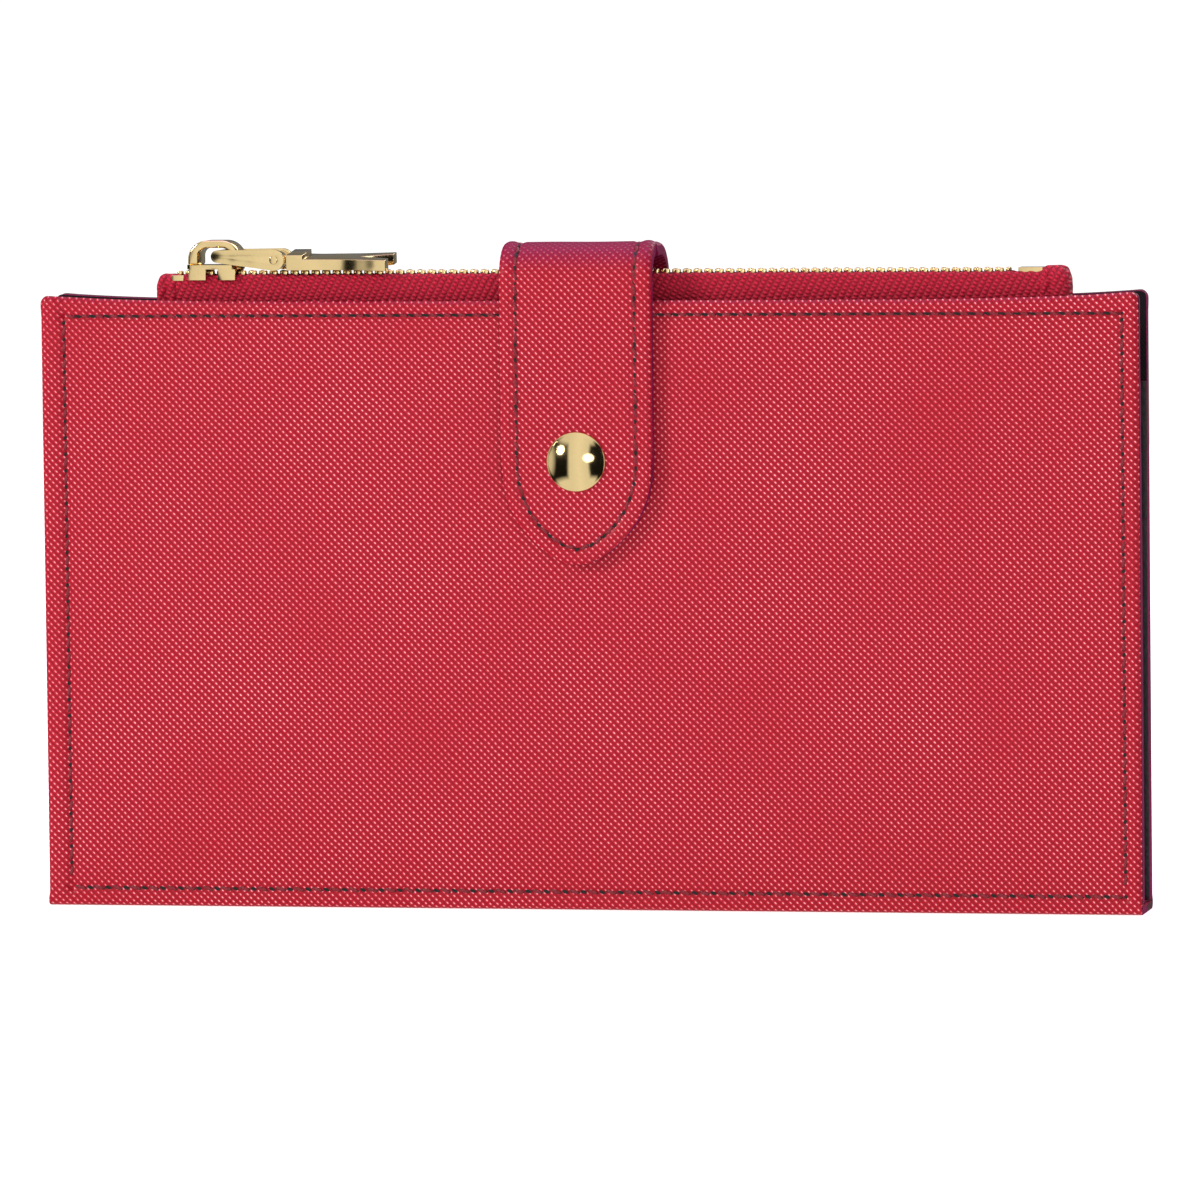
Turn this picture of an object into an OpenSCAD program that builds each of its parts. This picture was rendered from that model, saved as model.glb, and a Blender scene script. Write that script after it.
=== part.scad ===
// Slim bifold wallet with a zipped coin pocket between its leaves and a snap tab over the top.
// Millimetres. X runs along the wallet, -Y is the front, Z is up. The origin is the middle of
// the fold's underside, on the surface that the wallet stands on.

/* [Leaves] */
// Length of each leaf
leaf_w = 195; // [170:1:240]
// Height of each leaf's top corners above the surface
leaf_h = 108; // [90:1:130]
// Thickness of the closed wallet over both leaves
closed_t = 14; // [13.6:0.2:15]
// Outer leather
cover_t = 1.3; // [1:0.1:1.6]
// Stiffener behind the leather
board_t = 1; // [0.6:0.1:1.2]
// Inner lining
lining_t = 0.5; // [0.3:0.1:0.6]
// Radius of a leaf's corners
corner_r = 1.5; // [0.5:0.1:4]
// Rounding of the fold's lower edges
fold_r = 0.9; // [0.5:0.1:0.9]
// Rise of the top corners above the middle of the top edge
ear_rise = 1.3; // [0:0.1:2.5]

/* [Card slots] */
// Thickness of a slot's panel
panel_t = 0.35; // [0.2:0.05:0.4]
// Distance from the top edge down to the first slot's mouth
first_mouth = 16; // [12:1:24]
// Step from one slot's mouth to the next
mouth_step = 12; // [8:1:18]
// Depth of the thumb notch in a mouth
notch_depth = 4; // [2:0.5:6]
// Width of the thumb notch in a mouth
notch_w = 22; // [14:1:30]

/* [Zipped pocket] */
// Distance between the outer faces of the pocket's ends
pocket_w = 157; // [130:1:165]
// Offset of the pocket towards +X
pocket_shift = 3; // [0:0.5:5]
// Thickness of the pocket's walls
wall_t = 0.55; // [0.4:0.05:0.6]
// Distance from the leaves' top corners down to the walls' top edges
wall_drop = 6; // [4:0.5:12]
// Height of the zip's chain above the leaves' top corners
chain_rise = 4; // [3:0.1:5.5]
// Thickness of the zip's tape
tape_t = 0.5; // [0.4:0.05:0.6]
// Pitch of the teeth along one tape
tooth_pitch = 1.9; // [1.6:0.1:2.6]
// Length of the folded tape end beyond each end of the chain
tape_end = 3; // [2:0.5:5]

/* [Slider and pull] */
// Length of the slider
slider_l = 10.2; // [9:0.2:14]
// Height of the crown above the slider's plate
crown_h = 4.3; // [4:0.1:6]
// Width of the crown
crown_w = 5.4; // [4:0.2:6]
// Distance between the link's two pivots
link_l = 10.2; // [9:0.2:14]
// Diameter of the pin that holds the pull
pin_d = 1.5; // [1:0.1:1.8]
// Length of the pull beyond the pin
pull_l = 20.3; // [16:0.5:30]
// Width of the pull at its tail
pull_w = 9.6; // [7:0.2:11]
// Turn of the pull about its own length
pull_roll = 7; // [0:1:8]

/* [Snap tab] */
// Width of the tab
tab_w = 27; // [20:1:36]
// Offset of the tab along X
tab_x = -0.9; // [-10:0.1:10]
// Thickness of the tab, leather and lining together
tab_t = 2.1; // [1.6:0.1:2.6]
// Gap between the closed tab and the front leaf
tab_gap = 0.5; // [0.4:0.1:1]
// Distance from the leaves' top corners down to the tab's tip
tab_reach = 47.3; // [36:1:60]
// Length of the tapering tip
tip_l = 18.5; // [12:0.5:24]
// Rise of the tab's arch above the leaves' top corners
arch_rise = 8.9; // [8:0.1:12]
// Height of the tab's base on the rear leaf
base_h = 30; // [20:1:40]
// Distance from the tab's tip up to the snap's centre
snap_up = 18; // [16:0.5:24]
// Diameter of the snap's cap
cap_d = 10.5; // [8:0.5:14]

/* [Seams] */
// Distance of a leaf's seam from its left edge
seam_left = 4.2; // [2.5:0.1:6]
// Distance of a leaf's seam from its right edge
seam_right = 2.8; // [2.5:0.1:6]
// Distance of a leaf's seam from its top edge
seam_top = 2.4; // [2:0.1:4]
// Height of a leaf's lower seam above the surface
seam_low = 3.2; // [2.8:0.1:6]
// Distance of the tab's seam from its edge
tab_seam_inset = 2.9; // [2:0.1:4]
// Length from one stitch to the next
stitch_pitch = 2.8; // [2.4:0.1:4]

/* [Hidden] */

// clearances
hinge_gap = 0.15;      // between the spine and a leaf, and between two lengths of the tab
pocket_gap = 0.2;      // between the card panels and the pocket
slider_gap = 0.25;     // between the slider and the closed chain or its tapes
snap_gap = 0.15;       // between the snap's stud and its socket
pin_gap = 0.05;        // around the pull's pin
arm_gap = 0.3;         // between the link's arms and the crown

// leaves
half_t = closed_t / 2;
leaf_z = cover_t + hinge_gap;
board_y = half_t - cover_t;
lining_y = board_y - board_t;
panel_y = lining_y - lining_t;
card_rows = 3;
leaf_inner_y = panel_y - card_rows * panel_t;
edge_steps = 24;

// pocket
pocket_half = leaf_inner_y - pocket_gap;
wall_in = pocket_half - wall_t;
pocket_left = pocket_shift - pocket_w / 2;
pocket_right = pocket_shift + pocket_w / 2;
floor_t = 0.6;
floor_z = cover_t;
wall_z = floor_z + floor_t;
wall_top = leaf_h - wall_drop;
spine_lining_t = 0.4;
spine_lining_end = 1;
spine_lining_gap = 0.2;

// zip: the tapes hang from the chain inside the walls' top edges
chain_z = leaf_h + chain_rise;
tooth_h = 1.1;
tooth_w = 0.8;
tooth_start = 0.1;
tooth_reach = 0.35;    // of a tooth's head beyond the middle of the chain
chain_half = 1.8;
tape_half = wall_in;
tape_top = chain_z - 0.3;
tape_hem = 8;          // sewn to the wall below its top edge
tape_left = pocket_left + 1;
tape_right = pocket_right - 1;
stop_room = 4.6;
stop_gap = 0.2;        // from the last teeth to the bottom stop, and from the stop to the tapes' ends
top_stop = [2.2, 0.2, 1];
top_stop_z = chain_z - 1.8;
end_gap = 0.9;         // from a tape's end to the folded block
end_r = 0.9;
end_z = wall_top + 0.3;
chain_left = tape_left + 0.6;
chain_right = tape_right - stop_room;
tooth_count = floor((chain_right - chain_left) / tooth_pitch);

// slider
plate_z = chain_z + slider_gap;
plate_t = 0.75;
plate_bulge = 1.2;     // of the plate's rounded ends beyond its half width
crown_z = plate_z + plate_t;
flange_in = tape_half + slider_gap;
flange_t = 0.75;
slider_half = flange_in + flange_t;
flange_drop = 1.9;
flange_end = 0.9;      // from a flange's outer end to the plate's end
flange_l = slider_l / 3 - 0.3;
lower_in = tape_half - tape_t - slider_gap;
lower_end = 0.8;
lower_drop = 1.3;      // from the tapes' turned edges down to the lower plate's underside
lower_t = 0.7;
slider_x = tape_left + 2.2 + slider_l / 2;
crown_l = slider_l - 0.7;
crown_shift = 0.25;
crown_bar = 1.3;
crown_leg = 2;
hole_l = crown_l - 2 * crown_leg;
hole_h = crown_h - crown_bar;
crown_round = 3.4;
hole_round = 1.4;
travel = chain_right - slider_l / 2 - 0.4 - slider_x;  // the slide joint's range

// link and pull
eye_d = 2.2;
link_x = slider_x + 1.1;
link_z = crown_z + hole_h / 2;
link_drop = 0.65;      // of the pin below the bar in the crown
pin_z = link_z - link_drop;
arm_in = crown_w / 2 + arm_gap;
arm_t = 0.9;
pin_x = link_x + link_l;
pin_boss = 1.85;
pin_head = 0.15;
eye_r = 1.5;
eye_half = arm_in - 0.2;
head_from = pin_boss + 0.35;
head_l = 3;
head_w = 7.4;
head_rise = 0.8;
neck_l = 2.2;          // from the head to the waist
waist_w = 6.8;
tail_flare = 0.4;      // of the waist's sides where the tail begins
prong_w = 2.2;
tongue_t = 1.6;
pull_lift = 0.2;       // of the closed pull above the chain
pull_t = 1.9;
notch_l = 5.4;

// tab
flap_in = half_t + tab_gap;
flap_out = flap_in + tab_t;
rear_out = half_t + tab_t;
skin_t = tab_t * 4 / 7;
arch_top = leaf_h + arch_rise;
unfold_z = leaf_h + 3;
lift_z = leaf_h - 1.5;
tip_z = leaf_h - tab_reach;
tip_start = tip_z + tip_l;
tip_steps = 16;
tip_point = 0.22;      // how pointed the tip's oval is
tip_seam_steps = 8;
front_r = 3.6;
rear_r = 8;
rear_dip = 0.4;        // of the arch's rear shoulder below its front one
snap_z = tip_z + snap_up;
cap_t = 2.1;
cap_rim = 0.5;
stud_d = 3.6;
socket_d = 8;
socket_t = 0.8;

// thread
thread_h = 0.12;
thread_w = 0.5;
stitch_l = stitch_pitch * 0.72;

function leaf_edge(x) = leaf_h - ear_rise * (1 - pow(abs(2 * x / leaf_w), 6));

// outline of a leaf, or of a panel whose top edge is lower
module leaf_outline() {
    top = [for (i = [0:edge_steps]) let(x = leaf_w / 2 - leaf_w * i / edge_steps) [x, leaf_edge(x)]];
    intersection() {
        polygon(concat([[-leaf_w / 2, leaf_z], [leaf_w / 2, leaf_z]], top));
        union() {
            translate([-leaf_w / 2, leaf_z]) square([leaf_w, leaf_h - corner_r - leaf_z]);
            translate([-leaf_w / 2 + corner_r, leaf_z]) square([leaf_w - 2 * corner_r, leaf_h - leaf_z]);
            for (side = [-1, 1])
                translate([side * (leaf_w / 2 - corner_r), leaf_h - corner_r]) circle(corner_r, $fn = 48);
        }
    }
}

// a sheet whose outline lies in XZ, from y down to y - t, mirrored for the rear leaf
module sheet(y, t, rear = false) {
    mirror([0, rear ? 1 : 0, 0])
        translate([0, -y + t, 0]) rotate([90, 0, 0]) linear_extrude(t) children();
}

module card_panel(row, rear = false) {
    mouth = leaf_h - first_mouth - row * mouth_step;
    sheet(panel_y - row * panel_t, panel_t, rear) difference() {
        translate([-leaf_w / 2, leaf_z]) square([leaf_w, mouth - leaf_z]);
        for (side = [-1, 1])
            translate([side * leaf_w / 4, mouth + notch_w - notch_depth]) circle(notch_w, $fn = 96);
    }
}

// stitches along a straight seam from a to b, in the plane XZ at y
module seam(a, b, y) {
    run = b - a;
    length = norm(run);
    count = max(1, round(length / stitch_pitch));
    for (i = [0:count - 1])
        translate([a[0], y, a[1]] + [run[0], 0, run[1]] * (i + 0.5) / count)
            rotate([0, -atan2(run[1], run[0]), 0])
                cube([stitch_l, thread_h, thread_w], center = true);
}

// the rear leaf's upper seam stops on both sides of the tab's base
module leaf_stitching(rear = false) {
    x0 = -leaf_w / 2 + seam_left;
    x1 = leaf_w / 2 - seam_right;
    z1 = leaf_h - ear_rise - seam_top;
    clear = stitch_pitch / 2;
    y = -half_t - thread_h / 2;
    seam([x0, seam_low + clear], [x0, z1 - clear], y);
    seam([x1, seam_low + clear], [x1, z1 - clear], y);
    seam([x0, seam_low], [x1, seam_low], y);
    if (rear) {
        seam([x0, z1], [tab_x - tab_w / 2 - clear, z1], y);
        seam([tab_x + tab_w / 2 + clear, z1], [x1, z1], y);
    } else seam([x0, z1], [x1, z1], y);
}

// --- spine and pocket ---

module spine_leather() {
    color("#b02438") rotate([90, 0, 90]) translate([0, 0, -leaf_w / 2]) linear_extrude(leaf_w)
        intersection() {
            translate([-half_t, 0]) square([closed_t, cover_t]);
            union() {
                translate([-half_t + fold_r, 0]) square([closed_t - 2 * fold_r, cover_t]);
                translate([-half_t, fold_r]) square([closed_t, cover_t - fold_r]);
                for (side = [-1, 1])
                    translate([side * (half_t - fold_r), fold_r]) circle(fold_r, $fn = 64);
            }
        }
}

module spine_lining() {
    color("#241a33") for (side = [-1, 1]) {
        x0 = side < 0 ? -leaf_w / 2 + spine_lining_end : pocket_right + spine_lining_gap;
        x1 = side < 0 ? pocket_left - spine_lining_gap : leaf_w / 2 - spine_lining_end;
        translate([x0, -pocket_half, cover_t]) cube([x1 - x0, 2 * pocket_half, spine_lining_t]);
    }
}

module pocket_wall() {
    translate([pocket_left, -pocket_half, wall_z]) cube([pocket_w, wall_t, wall_top - wall_z]);
}

module pocket_front_wall() {
    color("#2b2038") pocket_wall();
}

module pocket_rear_wall() {
    color("#2b2038") mirror([0, 1, 0]) pocket_wall();
}

module pocket_floor() {
    color("#2b2038") translate([pocket_left, -pocket_half, floor_z])
        cube([pocket_w, 2 * pocket_half, floor_t]);
}

module pocket_gusset(x) {
    color("#2b2038") translate([x, -wall_in, wall_z])
        cube([wall_t, 2 * wall_in, wall_top - tape_hem - wall_z]);
}

module pocket_gusset_left() {
    pocket_gusset(pocket_left);
}

module pocket_gusset_right() {
    pocket_gusset(pocket_right - wall_t);
}

// the tape rises from its hem inside the wall and turns in to carry the teeth
module zip_tape() {
    z0 = wall_top - tape_hem;
    translate([tape_left, -tape_half, z0]) cube([tape_right - tape_left, tape_t, tape_top - z0]);
    translate([tape_left, -tape_half + tape_t, tape_top - tape_t])
        cube([tape_right - tape_left, tape_half - tape_t - chain_half, tape_t]);
}

module zip_tape_front() {
    color("#b8233d") zip_tape();
}

module zip_tape_rear() {
    color("#b8233d") mirror([0, 1, 0]) zip_tape();
}

module zip_teeth(phase) {
    for (i = [0:tooth_count - 1])
        translate([chain_left + (i + phase) * tooth_pitch + tooth_start, -chain_half, chain_z - tooth_h])
            cube([tooth_w, chain_half + tooth_reach, tooth_h]);
}

module zip_teeth_front() {
    color("#d9c07a") zip_teeth(0);
}

module zip_teeth_rear() {
    color("#d9c07a") mirror([0, 1, 0]) zip_teeth(0.5);
}

module zip_top_stop() {
    color("#d9c07a") translate([tape_left - top_stop[1], -tape_half - top_stop[1], top_stop_z])
        cube(top_stop);
}

module zip_bottom_stop() {
    color("#d9c07a") translate([chain_right + stop_gap / 2, -chain_half, chain_z - tooth_h])
        cube([stop_room - 2 * stop_gap, 2 * chain_half, tooth_h]);
}

// the tapes' ends, folded down and sewn into a rounded block
module folded_end() {
    hull() for (y = [-1, 1], end = [0, 1])
        translate([end * (tape_end - end_r), y * (tape_half - end_r), end_z])
            cylinder(h = chain_z - 1 - end * 0.5 - end_z, r = end_r, $fn = 32);
}

module tape_end_left() {
    color("#b8233d") mirror([1, 0, 0]) translate([-tape_left + end_gap, 0, 0]) folded_end();
}

module tape_end_right() {
    color("#b8233d") translate([tape_right + end_gap, 0, 0]) folded_end();
}

// --- leaves ---

module front_cover() {
    color("#b92a3b") sheet(half_t, cover_t) leaf_outline();
}

module front_board() {
    color("#6b5a4a") sheet(board_y, board_t) leaf_outline();
}

module front_lining() {
    color("#241a33") sheet(lining_y, lining_t) leaf_outline();
}

module front_card_panel_high() {
    color("#2b2038") card_panel(0);
}

module front_card_panel_middle() {
    color("#2b2038") card_panel(1);
}

module front_card_panel_low() {
    color("#2b2038") card_panel(2);
}

module front_stitching() {
    color("#7d1226") leaf_stitching();
}

module snap_stud() {
    color("#d9c07a") translate([tab_x, -half_t, snap_z]) rotate([90, 0, 0]) {
        cylinder(h = tab_gap - snap_gap, d = socket_d, $fn = 64);
        cylinder(h = tab_gap + socket_t - snap_gap, d = stud_d, $fn = 64);
    }
}

module rear_cover() {
    color("#b92a3b") sheet(half_t, cover_t, true) leaf_outline();
}

module rear_board() {
    color("#6b5a4a") sheet(board_y, board_t, true) leaf_outline();
}

module rear_lining() {
    color("#241a33") sheet(lining_y, lining_t, true) leaf_outline();
}

module rear_card_panel_high() {
    color("#2b2038") card_panel(0, true);
}

module rear_card_panel_middle() {
    color("#2b2038") card_panel(1, true);
}

module rear_card_panel_low() {
    color("#2b2038") card_panel(2, true);
}

module rear_stitching() {
    color("#7d1226") mirror([0, 1, 0]) leaf_stitching(rear = true);
}

// --- tab ---

module tab_base() {
    color("#b92a3b") translate([tab_x - tab_w / 2, half_t, lift_z - base_h])
        cube([tab_w, tab_t, base_h - hinge_gap]);
}

module tab_base_stitching() {
    x = tab_w / 2 - tab_seam_inset;
    z0 = lift_z - base_h + tab_seam_inset;
    z1 = lift_z - 3;
    y = rear_out + thread_h / 2;
    color("#7d1226") for (side = [-1, 1])
        seam([tab_x + side * x, z0 + stitch_pitch / 2], [tab_x + side * x, z1], y);
    color("#7d1226") seam([tab_x - x, z0], [tab_x + x, z0], y);
}

// profile in YZ of the solid under the arch, shrunk by inset all round
module arch_profile(inset) {
    hull() {
        translate([-flap_out + front_r, arch_top - front_r]) circle(front_r - inset, $fn = 64);
        translate([rear_out - rear_r, arch_top - rear_r - rear_dip]) circle(rear_r - inset, $fn = 96);
        translate([-flap_out + inset, unfold_z - 1]) square(1);
        translate([rear_out - inset - 1, lift_z - 1]) square(1);
    }
}

// the bent length of the tab between the two depths below its outer face
module arch_layer(outer, inner) {
    below = 2 * rear_r;
    translate([tab_x - tab_w / 2, 0, 0]) rotate([90, 0, 90]) linear_extrude(tab_w)
        difference() {
            arch_profile(outer);
            arch_profile(inner);
            translate([-flap_out - 1, unfold_z + hinge_gap / 2 - below])
                square([flap_out + half_t - 0.5, below]);
            translate([0, lift_z - below]) square([closed_t, below]);
        }
}

module tab_arch() {
    color("#b92a3b") arch_layer(0, skin_t);
}

module tab_arch_lining() {
    color("#8f2030") arch_layer(skin_t, tab_t);
}

function tip_half(s) = tab_w / 2 * sqrt(1 - s * s) * (1 - tip_point * pow(s, 4));
function tip_point_at(i) = let(s = sin(90 * i / tip_steps)) [tip_half(s), tip_start - tip_l * s];

module flap_outline() {
    top = unfold_z - hinge_gap / 2;
    right = [for (i = [0:tip_steps]) tip_point_at(i)];
    left = [for (i = [tip_steps - 1:-1:0]) [-tip_point_at(i)[0], tip_point_at(i)[1]]];
    translate([tab_x, 0]) polygon(concat([[tab_w / 2, top]], right, left, [[-tab_w / 2, top]]));
}

module tab_flap() {
    color("#b92a3b") sheet(flap_out, skin_t) flap_outline();
}

module tab_flap_lining() {
    color("#8f2030") difference() {
        sheet(flap_out - skin_t, tab_t - skin_t) flap_outline();
        translate([tab_x, -flap_in + 1, snap_z]) rotate([90, 0, 0])
            cylinder(h = socket_t + 1, d = socket_d, $fn = 64);
    }
}

module tab_stitching() {
    x = tab_w / 2 - tab_seam_inset;
    y = -flap_out - thread_h / 2;
    top = unfold_z - 1;
    share = x * 2 / tab_w;
    color("#7d1226") {
        for (side = [-1, 1]) {
            seam([tab_x + side * x, tip_start], [tab_x + side * x, top], y);
            for (i = [0:tip_seam_steps - 1]) {
                s0 = sin(90 * i / tip_seam_steps);
                s1 = sin(90 * (i + 1) / tip_seam_steps);
                drop = tip_l - tab_seam_inset;
                seam([tab_x + side * tip_half(s0) * share, tip_start - drop * s0],
                     [tab_x + side * tip_half(s1) * share, tip_start - drop * s1], y);
            }
        }
    }
}

// a shallow dome with a rounded rim
module snap_cap() {
    dome_h = cap_t - cap_rim;
    dome_r = (pow(cap_d / 2, 2) + dome_h * dome_h) / (2 * dome_h);
    color("#e0cd96") translate([tab_x, -flap_out, snap_z]) rotate([90, 0, 0]) {
        cylinder(h = cap_rim, d = cap_d, $fn = 96);
        intersection() {
            translate([0, 0, cap_rim]) cylinder(h = dome_h, d = cap_d, $fn = 96);
            translate([0, 0, cap_t - dome_r]) sphere(dome_r, $fn = 128);
        }
    }
}

module snap_socket() {
    color("#d9c07a") translate([tab_x, -flap_in, snap_z]) rotate([90, 0, 0]) difference() {
        cylinder(h = socket_t, d = socket_d - 0.1, $fn = 64);
        translate([0, 0, -1]) cylinder(h = socket_t + 2, d = stud_d + 2 * snap_gap, $fn = 64);
    }
}

// --- slider ---

module slider_body() {
    color("#dcc684") translate([slider_x, 0, 0]) {
        // plate over the chain, rounded in plan at both ends
        intersection() {
            translate([-slider_l / 2, -slider_half, plate_z]) cube([slider_l, 2 * slider_half, plate_t]);
            union() {
                for (end = [-1, 1])
                    translate([end * (slider_l / 2 - slider_half - plate_bulge), 0, plate_z])
                        cylinder(h = plate_t, r = slider_half + plate_bulge, $fn = 64);
            }
        }
        // flanges outside the tapes, with an open waist
        for (side = [-1, 1], end = [-1, 1])
            translate([end * (slider_l / 2 - flange_end - flange_l / 2) - flange_l / 2,
                       side * (flange_in + flange_t / 2) - flange_t / 2, plate_z - flange_drop])
                cube([flange_l, flange_t, flange_drop]);
        // lower plate under the tapes' turned edges
        translate([-slider_l / 2 + lower_end, -lower_in, tape_top - tape_t - lower_drop])
            cube([slider_l - 2 * lower_end, 2 * lower_in, lower_t]);
    }
}

// profile in XZ of the crown: a flat bar on two legs with rounded shoulders
module crown_profile(l, h, r) {
    intersection() {
        translate([-l / 2, 0]) square([l, h]);
        union() {
            translate([-l / 2 + r, 0]) square([l - 2 * r, h]);
            translate([-l / 2, 0]) square([l, max(h - r, 0.01)]);
            for (side = [-1, 1]) translate([side * (l / 2 - r), h - r]) circle(r, $fn = 64);
        }
    }
}

module slider_crown() {
    color("#dcc684") translate([slider_x + crown_shift, crown_w / 2, crown_z]) rotate([90, 0, 0])
        linear_extrude(crown_w) difference() {
            crown_profile(crown_l, crown_h, crown_round);
            translate([0, -0.01]) crown_profile(hole_l, hole_h, hole_round);
        }
}

// profile in XZ of an arm: an eye and a boss with straight edges between them
module link_arm() {
    r = eye_d / 2;
    lean = asin((pin_boss - r) / norm([link_l, link_z - pin_z]));
    slope = atan2(pin_z - link_z, link_l);
    up = [cos(90 + slope + lean), sin(90 + slope + lean)];
    down = [cos(slope - lean - 90), sin(slope - lean - 90)];
    eye = [link_x, link_z];
    boss = [pin_x, pin_z];
    translate(eye) circle(r, $fn = 48);
    translate(boss) circle(pin_boss, $fn = 48);
    polygon([eye + r * up, eye + r * down, boss + pin_boss * down, boss + pin_boss * up]);
}

// two arms outside the crown, joined by a bar through its hole
module connector_link() {
    color("#dcc684") difference() {
        union() {
            translate([link_x, arm_in + arm_t, link_z]) rotate([90, 0, 0])
                cylinder(h = 2 * (arm_in + arm_t), d = eye_d, $fn = 48);
            for (side = [-1, 1])
                translate([0, side * (arm_in + arm_t / 2) + arm_t / 2, 0]) rotate([90, 0, 0])
                    linear_extrude(arm_t) link_arm();
        }
        translate([pin_x, 10, pin_z]) rotate([90, 0, 0]) cylinder(h = 20, d = pin_d, $fn = 48);
    }
}

module link_pin() {
    color("#dcc684") translate([pin_x, arm_in + arm_t + pin_head, pin_z]) rotate([90, 0, 0])
        cylinder(h = 2 * (arm_in + arm_t + pin_head), d = pin_d, $fn = 48);
}

// outline of the pull in plan, from the head to the notched tail
module pull_outline() {
    neck = head_from + head_l;
    difference() {
        polygon([
            [head_from, -head_w / 2], [neck, -head_w / 2], [neck + neck_l, -waist_w / 2],
            [pull_l - notch_l, -waist_w / 2 - tail_flare], [pull_l, -pull_w / 2],
            [pull_l, pull_w / 2], [pull_l - notch_l, waist_w / 2 + tail_flare],
            [neck + neck_l, waist_w / 2], [neck, head_w / 2], [head_from, head_w / 2]
        ]);
        polygon([[pull_l - notch_l, 0], [pull_l + 1, pull_w / 2 - prong_w],
                 [pull_l + 1, -pull_w / 2 + prong_w]]);
    }
}

module pull_plate() {
    low = chain_z + pull_lift + chain_half * tan(pull_roll) + pull_t / 2 - pin_z;
    color("#dcc684") translate([pin_x, 0, pin_z]) difference() {
        union() {
            translate([0, eye_half, 0]) rotate([90, 0, 0])
                cylinder(h = 2 * eye_half, r = eye_r, $fn = 48);
            translate([0, -eye_half, -tongue_t / 2]) cube([head_from + 0.5, 2 * eye_half, tongue_t]);
            translate([0, 0, low]) rotate([pull_roll, 0, 0]) {
                translate([0, 0, -pull_t / 2]) linear_extrude(pull_t) pull_outline();
                translate([head_from, -head_w / 2, -pull_t / 2])
                    cube([head_l, head_w, pull_t + head_rise]);
            }
        }
        translate([0, 10, 0]) rotate([90, 0, 0]) cylinder(h = 20, d = pin_d + 2 * pin_gap, $fn = 48);
    }
}

spine_leather();
spine_lining();
pocket_front_wall();
pocket_rear_wall();
pocket_floor();
pocket_gusset_left();
pocket_gusset_right();
zip_tape_front();
zip_tape_rear();
zip_teeth_front();
zip_teeth_rear();
zip_top_stop();
zip_bottom_stop();
tape_end_left();
tape_end_right();
front_cover();
front_board();
front_lining();
front_card_panel_high();
front_card_panel_middle();
front_card_panel_low();
front_stitching();
snap_stud();
rear_cover();
rear_board();
rear_lining();
rear_card_panel_high();
rear_card_panel_middle();
rear_card_panel_low();
rear_stitching();
tab_base();
tab_base_stitching();
tab_arch();
tab_arch_lining();
tab_flap();
tab_flap_lining();
tab_stitching();
snap_cap();
snap_socket();
slider_body();
slider_crown();
connector_link();
link_pin();
pull_plate();
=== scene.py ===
"""Slim bifold wallet in red saffiano leather: two leaves on a fold, a zipped coin pocket
between them and a snap tab over the top. Everything is in metres, in the CAD frame: X runs
along the wallet, -Y is the front, Z is up, and the wallet stands on its fold at Z = 0."""

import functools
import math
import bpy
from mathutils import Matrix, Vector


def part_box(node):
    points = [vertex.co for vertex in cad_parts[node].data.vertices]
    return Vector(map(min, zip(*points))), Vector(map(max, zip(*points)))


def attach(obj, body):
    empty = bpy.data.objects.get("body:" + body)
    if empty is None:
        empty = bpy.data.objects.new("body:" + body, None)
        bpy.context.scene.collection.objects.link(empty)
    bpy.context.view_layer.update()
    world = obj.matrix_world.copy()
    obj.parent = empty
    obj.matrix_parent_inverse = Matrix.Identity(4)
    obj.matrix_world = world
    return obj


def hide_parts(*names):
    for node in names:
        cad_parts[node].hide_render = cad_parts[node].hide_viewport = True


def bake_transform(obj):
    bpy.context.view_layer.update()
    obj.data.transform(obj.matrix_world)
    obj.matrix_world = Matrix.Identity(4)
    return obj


bl_info = {
    "name": "Bifold wallet",
    "version": (1, 0, 0),
    "blender": (4, 5, 0),
    "location": "View3D > Sidebar > Wallet",
    "description": "Builds a saffiano bifold wallet around its CAD frame",
    "category": "Object",
}

import bpy
from mathutils import Matrix, Vector, noise

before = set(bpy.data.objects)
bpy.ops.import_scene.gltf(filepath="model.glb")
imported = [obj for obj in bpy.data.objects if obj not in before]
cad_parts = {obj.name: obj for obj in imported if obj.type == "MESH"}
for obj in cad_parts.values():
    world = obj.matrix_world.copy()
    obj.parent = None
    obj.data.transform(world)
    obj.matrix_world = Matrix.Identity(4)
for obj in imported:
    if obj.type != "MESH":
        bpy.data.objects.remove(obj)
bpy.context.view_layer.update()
MM = 0.001
CUT = "cut"  # UV map in metres: the piece laid flat, as it was cut from the hide or the roll


def box(node):
    """Lowest and highest corner of a CAD node, in millimetres."""
    low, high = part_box(node)
    return Vector(low) / MM, Vector(high) / MM


# Sizes in millimetres, from the CAD.
COVER_LOW, COVER_HIGH = box("front_cover")
HALF_L = COVER_HIGH.x
LEAF_TOP = COVER_HIGH.z
HALF_T = -COVER_LOW.y
COVER_T = COVER_HIGH.y - COVER_LOW.y
LINING_IN = -box("front_lining")[1].y
PANEL_T = box("front_card_panel_high")[1].y - box("front_card_panel_high")[0].y
POCKET_LOW, POCKET_HIGH = box("pocket_front_wall")
TAPE_LOW, TAPE_HIGH = box("zip_tape_front")
TEETH_START = box("zip_teeth_front")[0].x
BASE_LOW, BASE_HIGH = box("tab_base")
FLAP_LOW, FLAP_HIGH = box("tab_flap")
ARCH_TOP = box("tab_arch")[1].z
CAP_LOW, CAP_HIGH = box("snap_cap")
TOOTH_PITCH = 1.9
GROOVE_W = 0.5  # how far from a seam its groove falls to a third of its depth
HEM_Z = 98.6  # height of the seam that holds the zip's tapes in the pocket


# --- sizes and colours that a user would change ---


def linear(hex_text):
    """An sRGB hex colour as linear red, green and blue."""
    values = [int(hex_text[i : i + 2], 16) / 255 for i in (1, 3, 5)]
    return tuple(v / 12.92 if v <= 0.04045 else ((v + 0.055) / 1.055) ** 2.4 for v in values)


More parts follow.
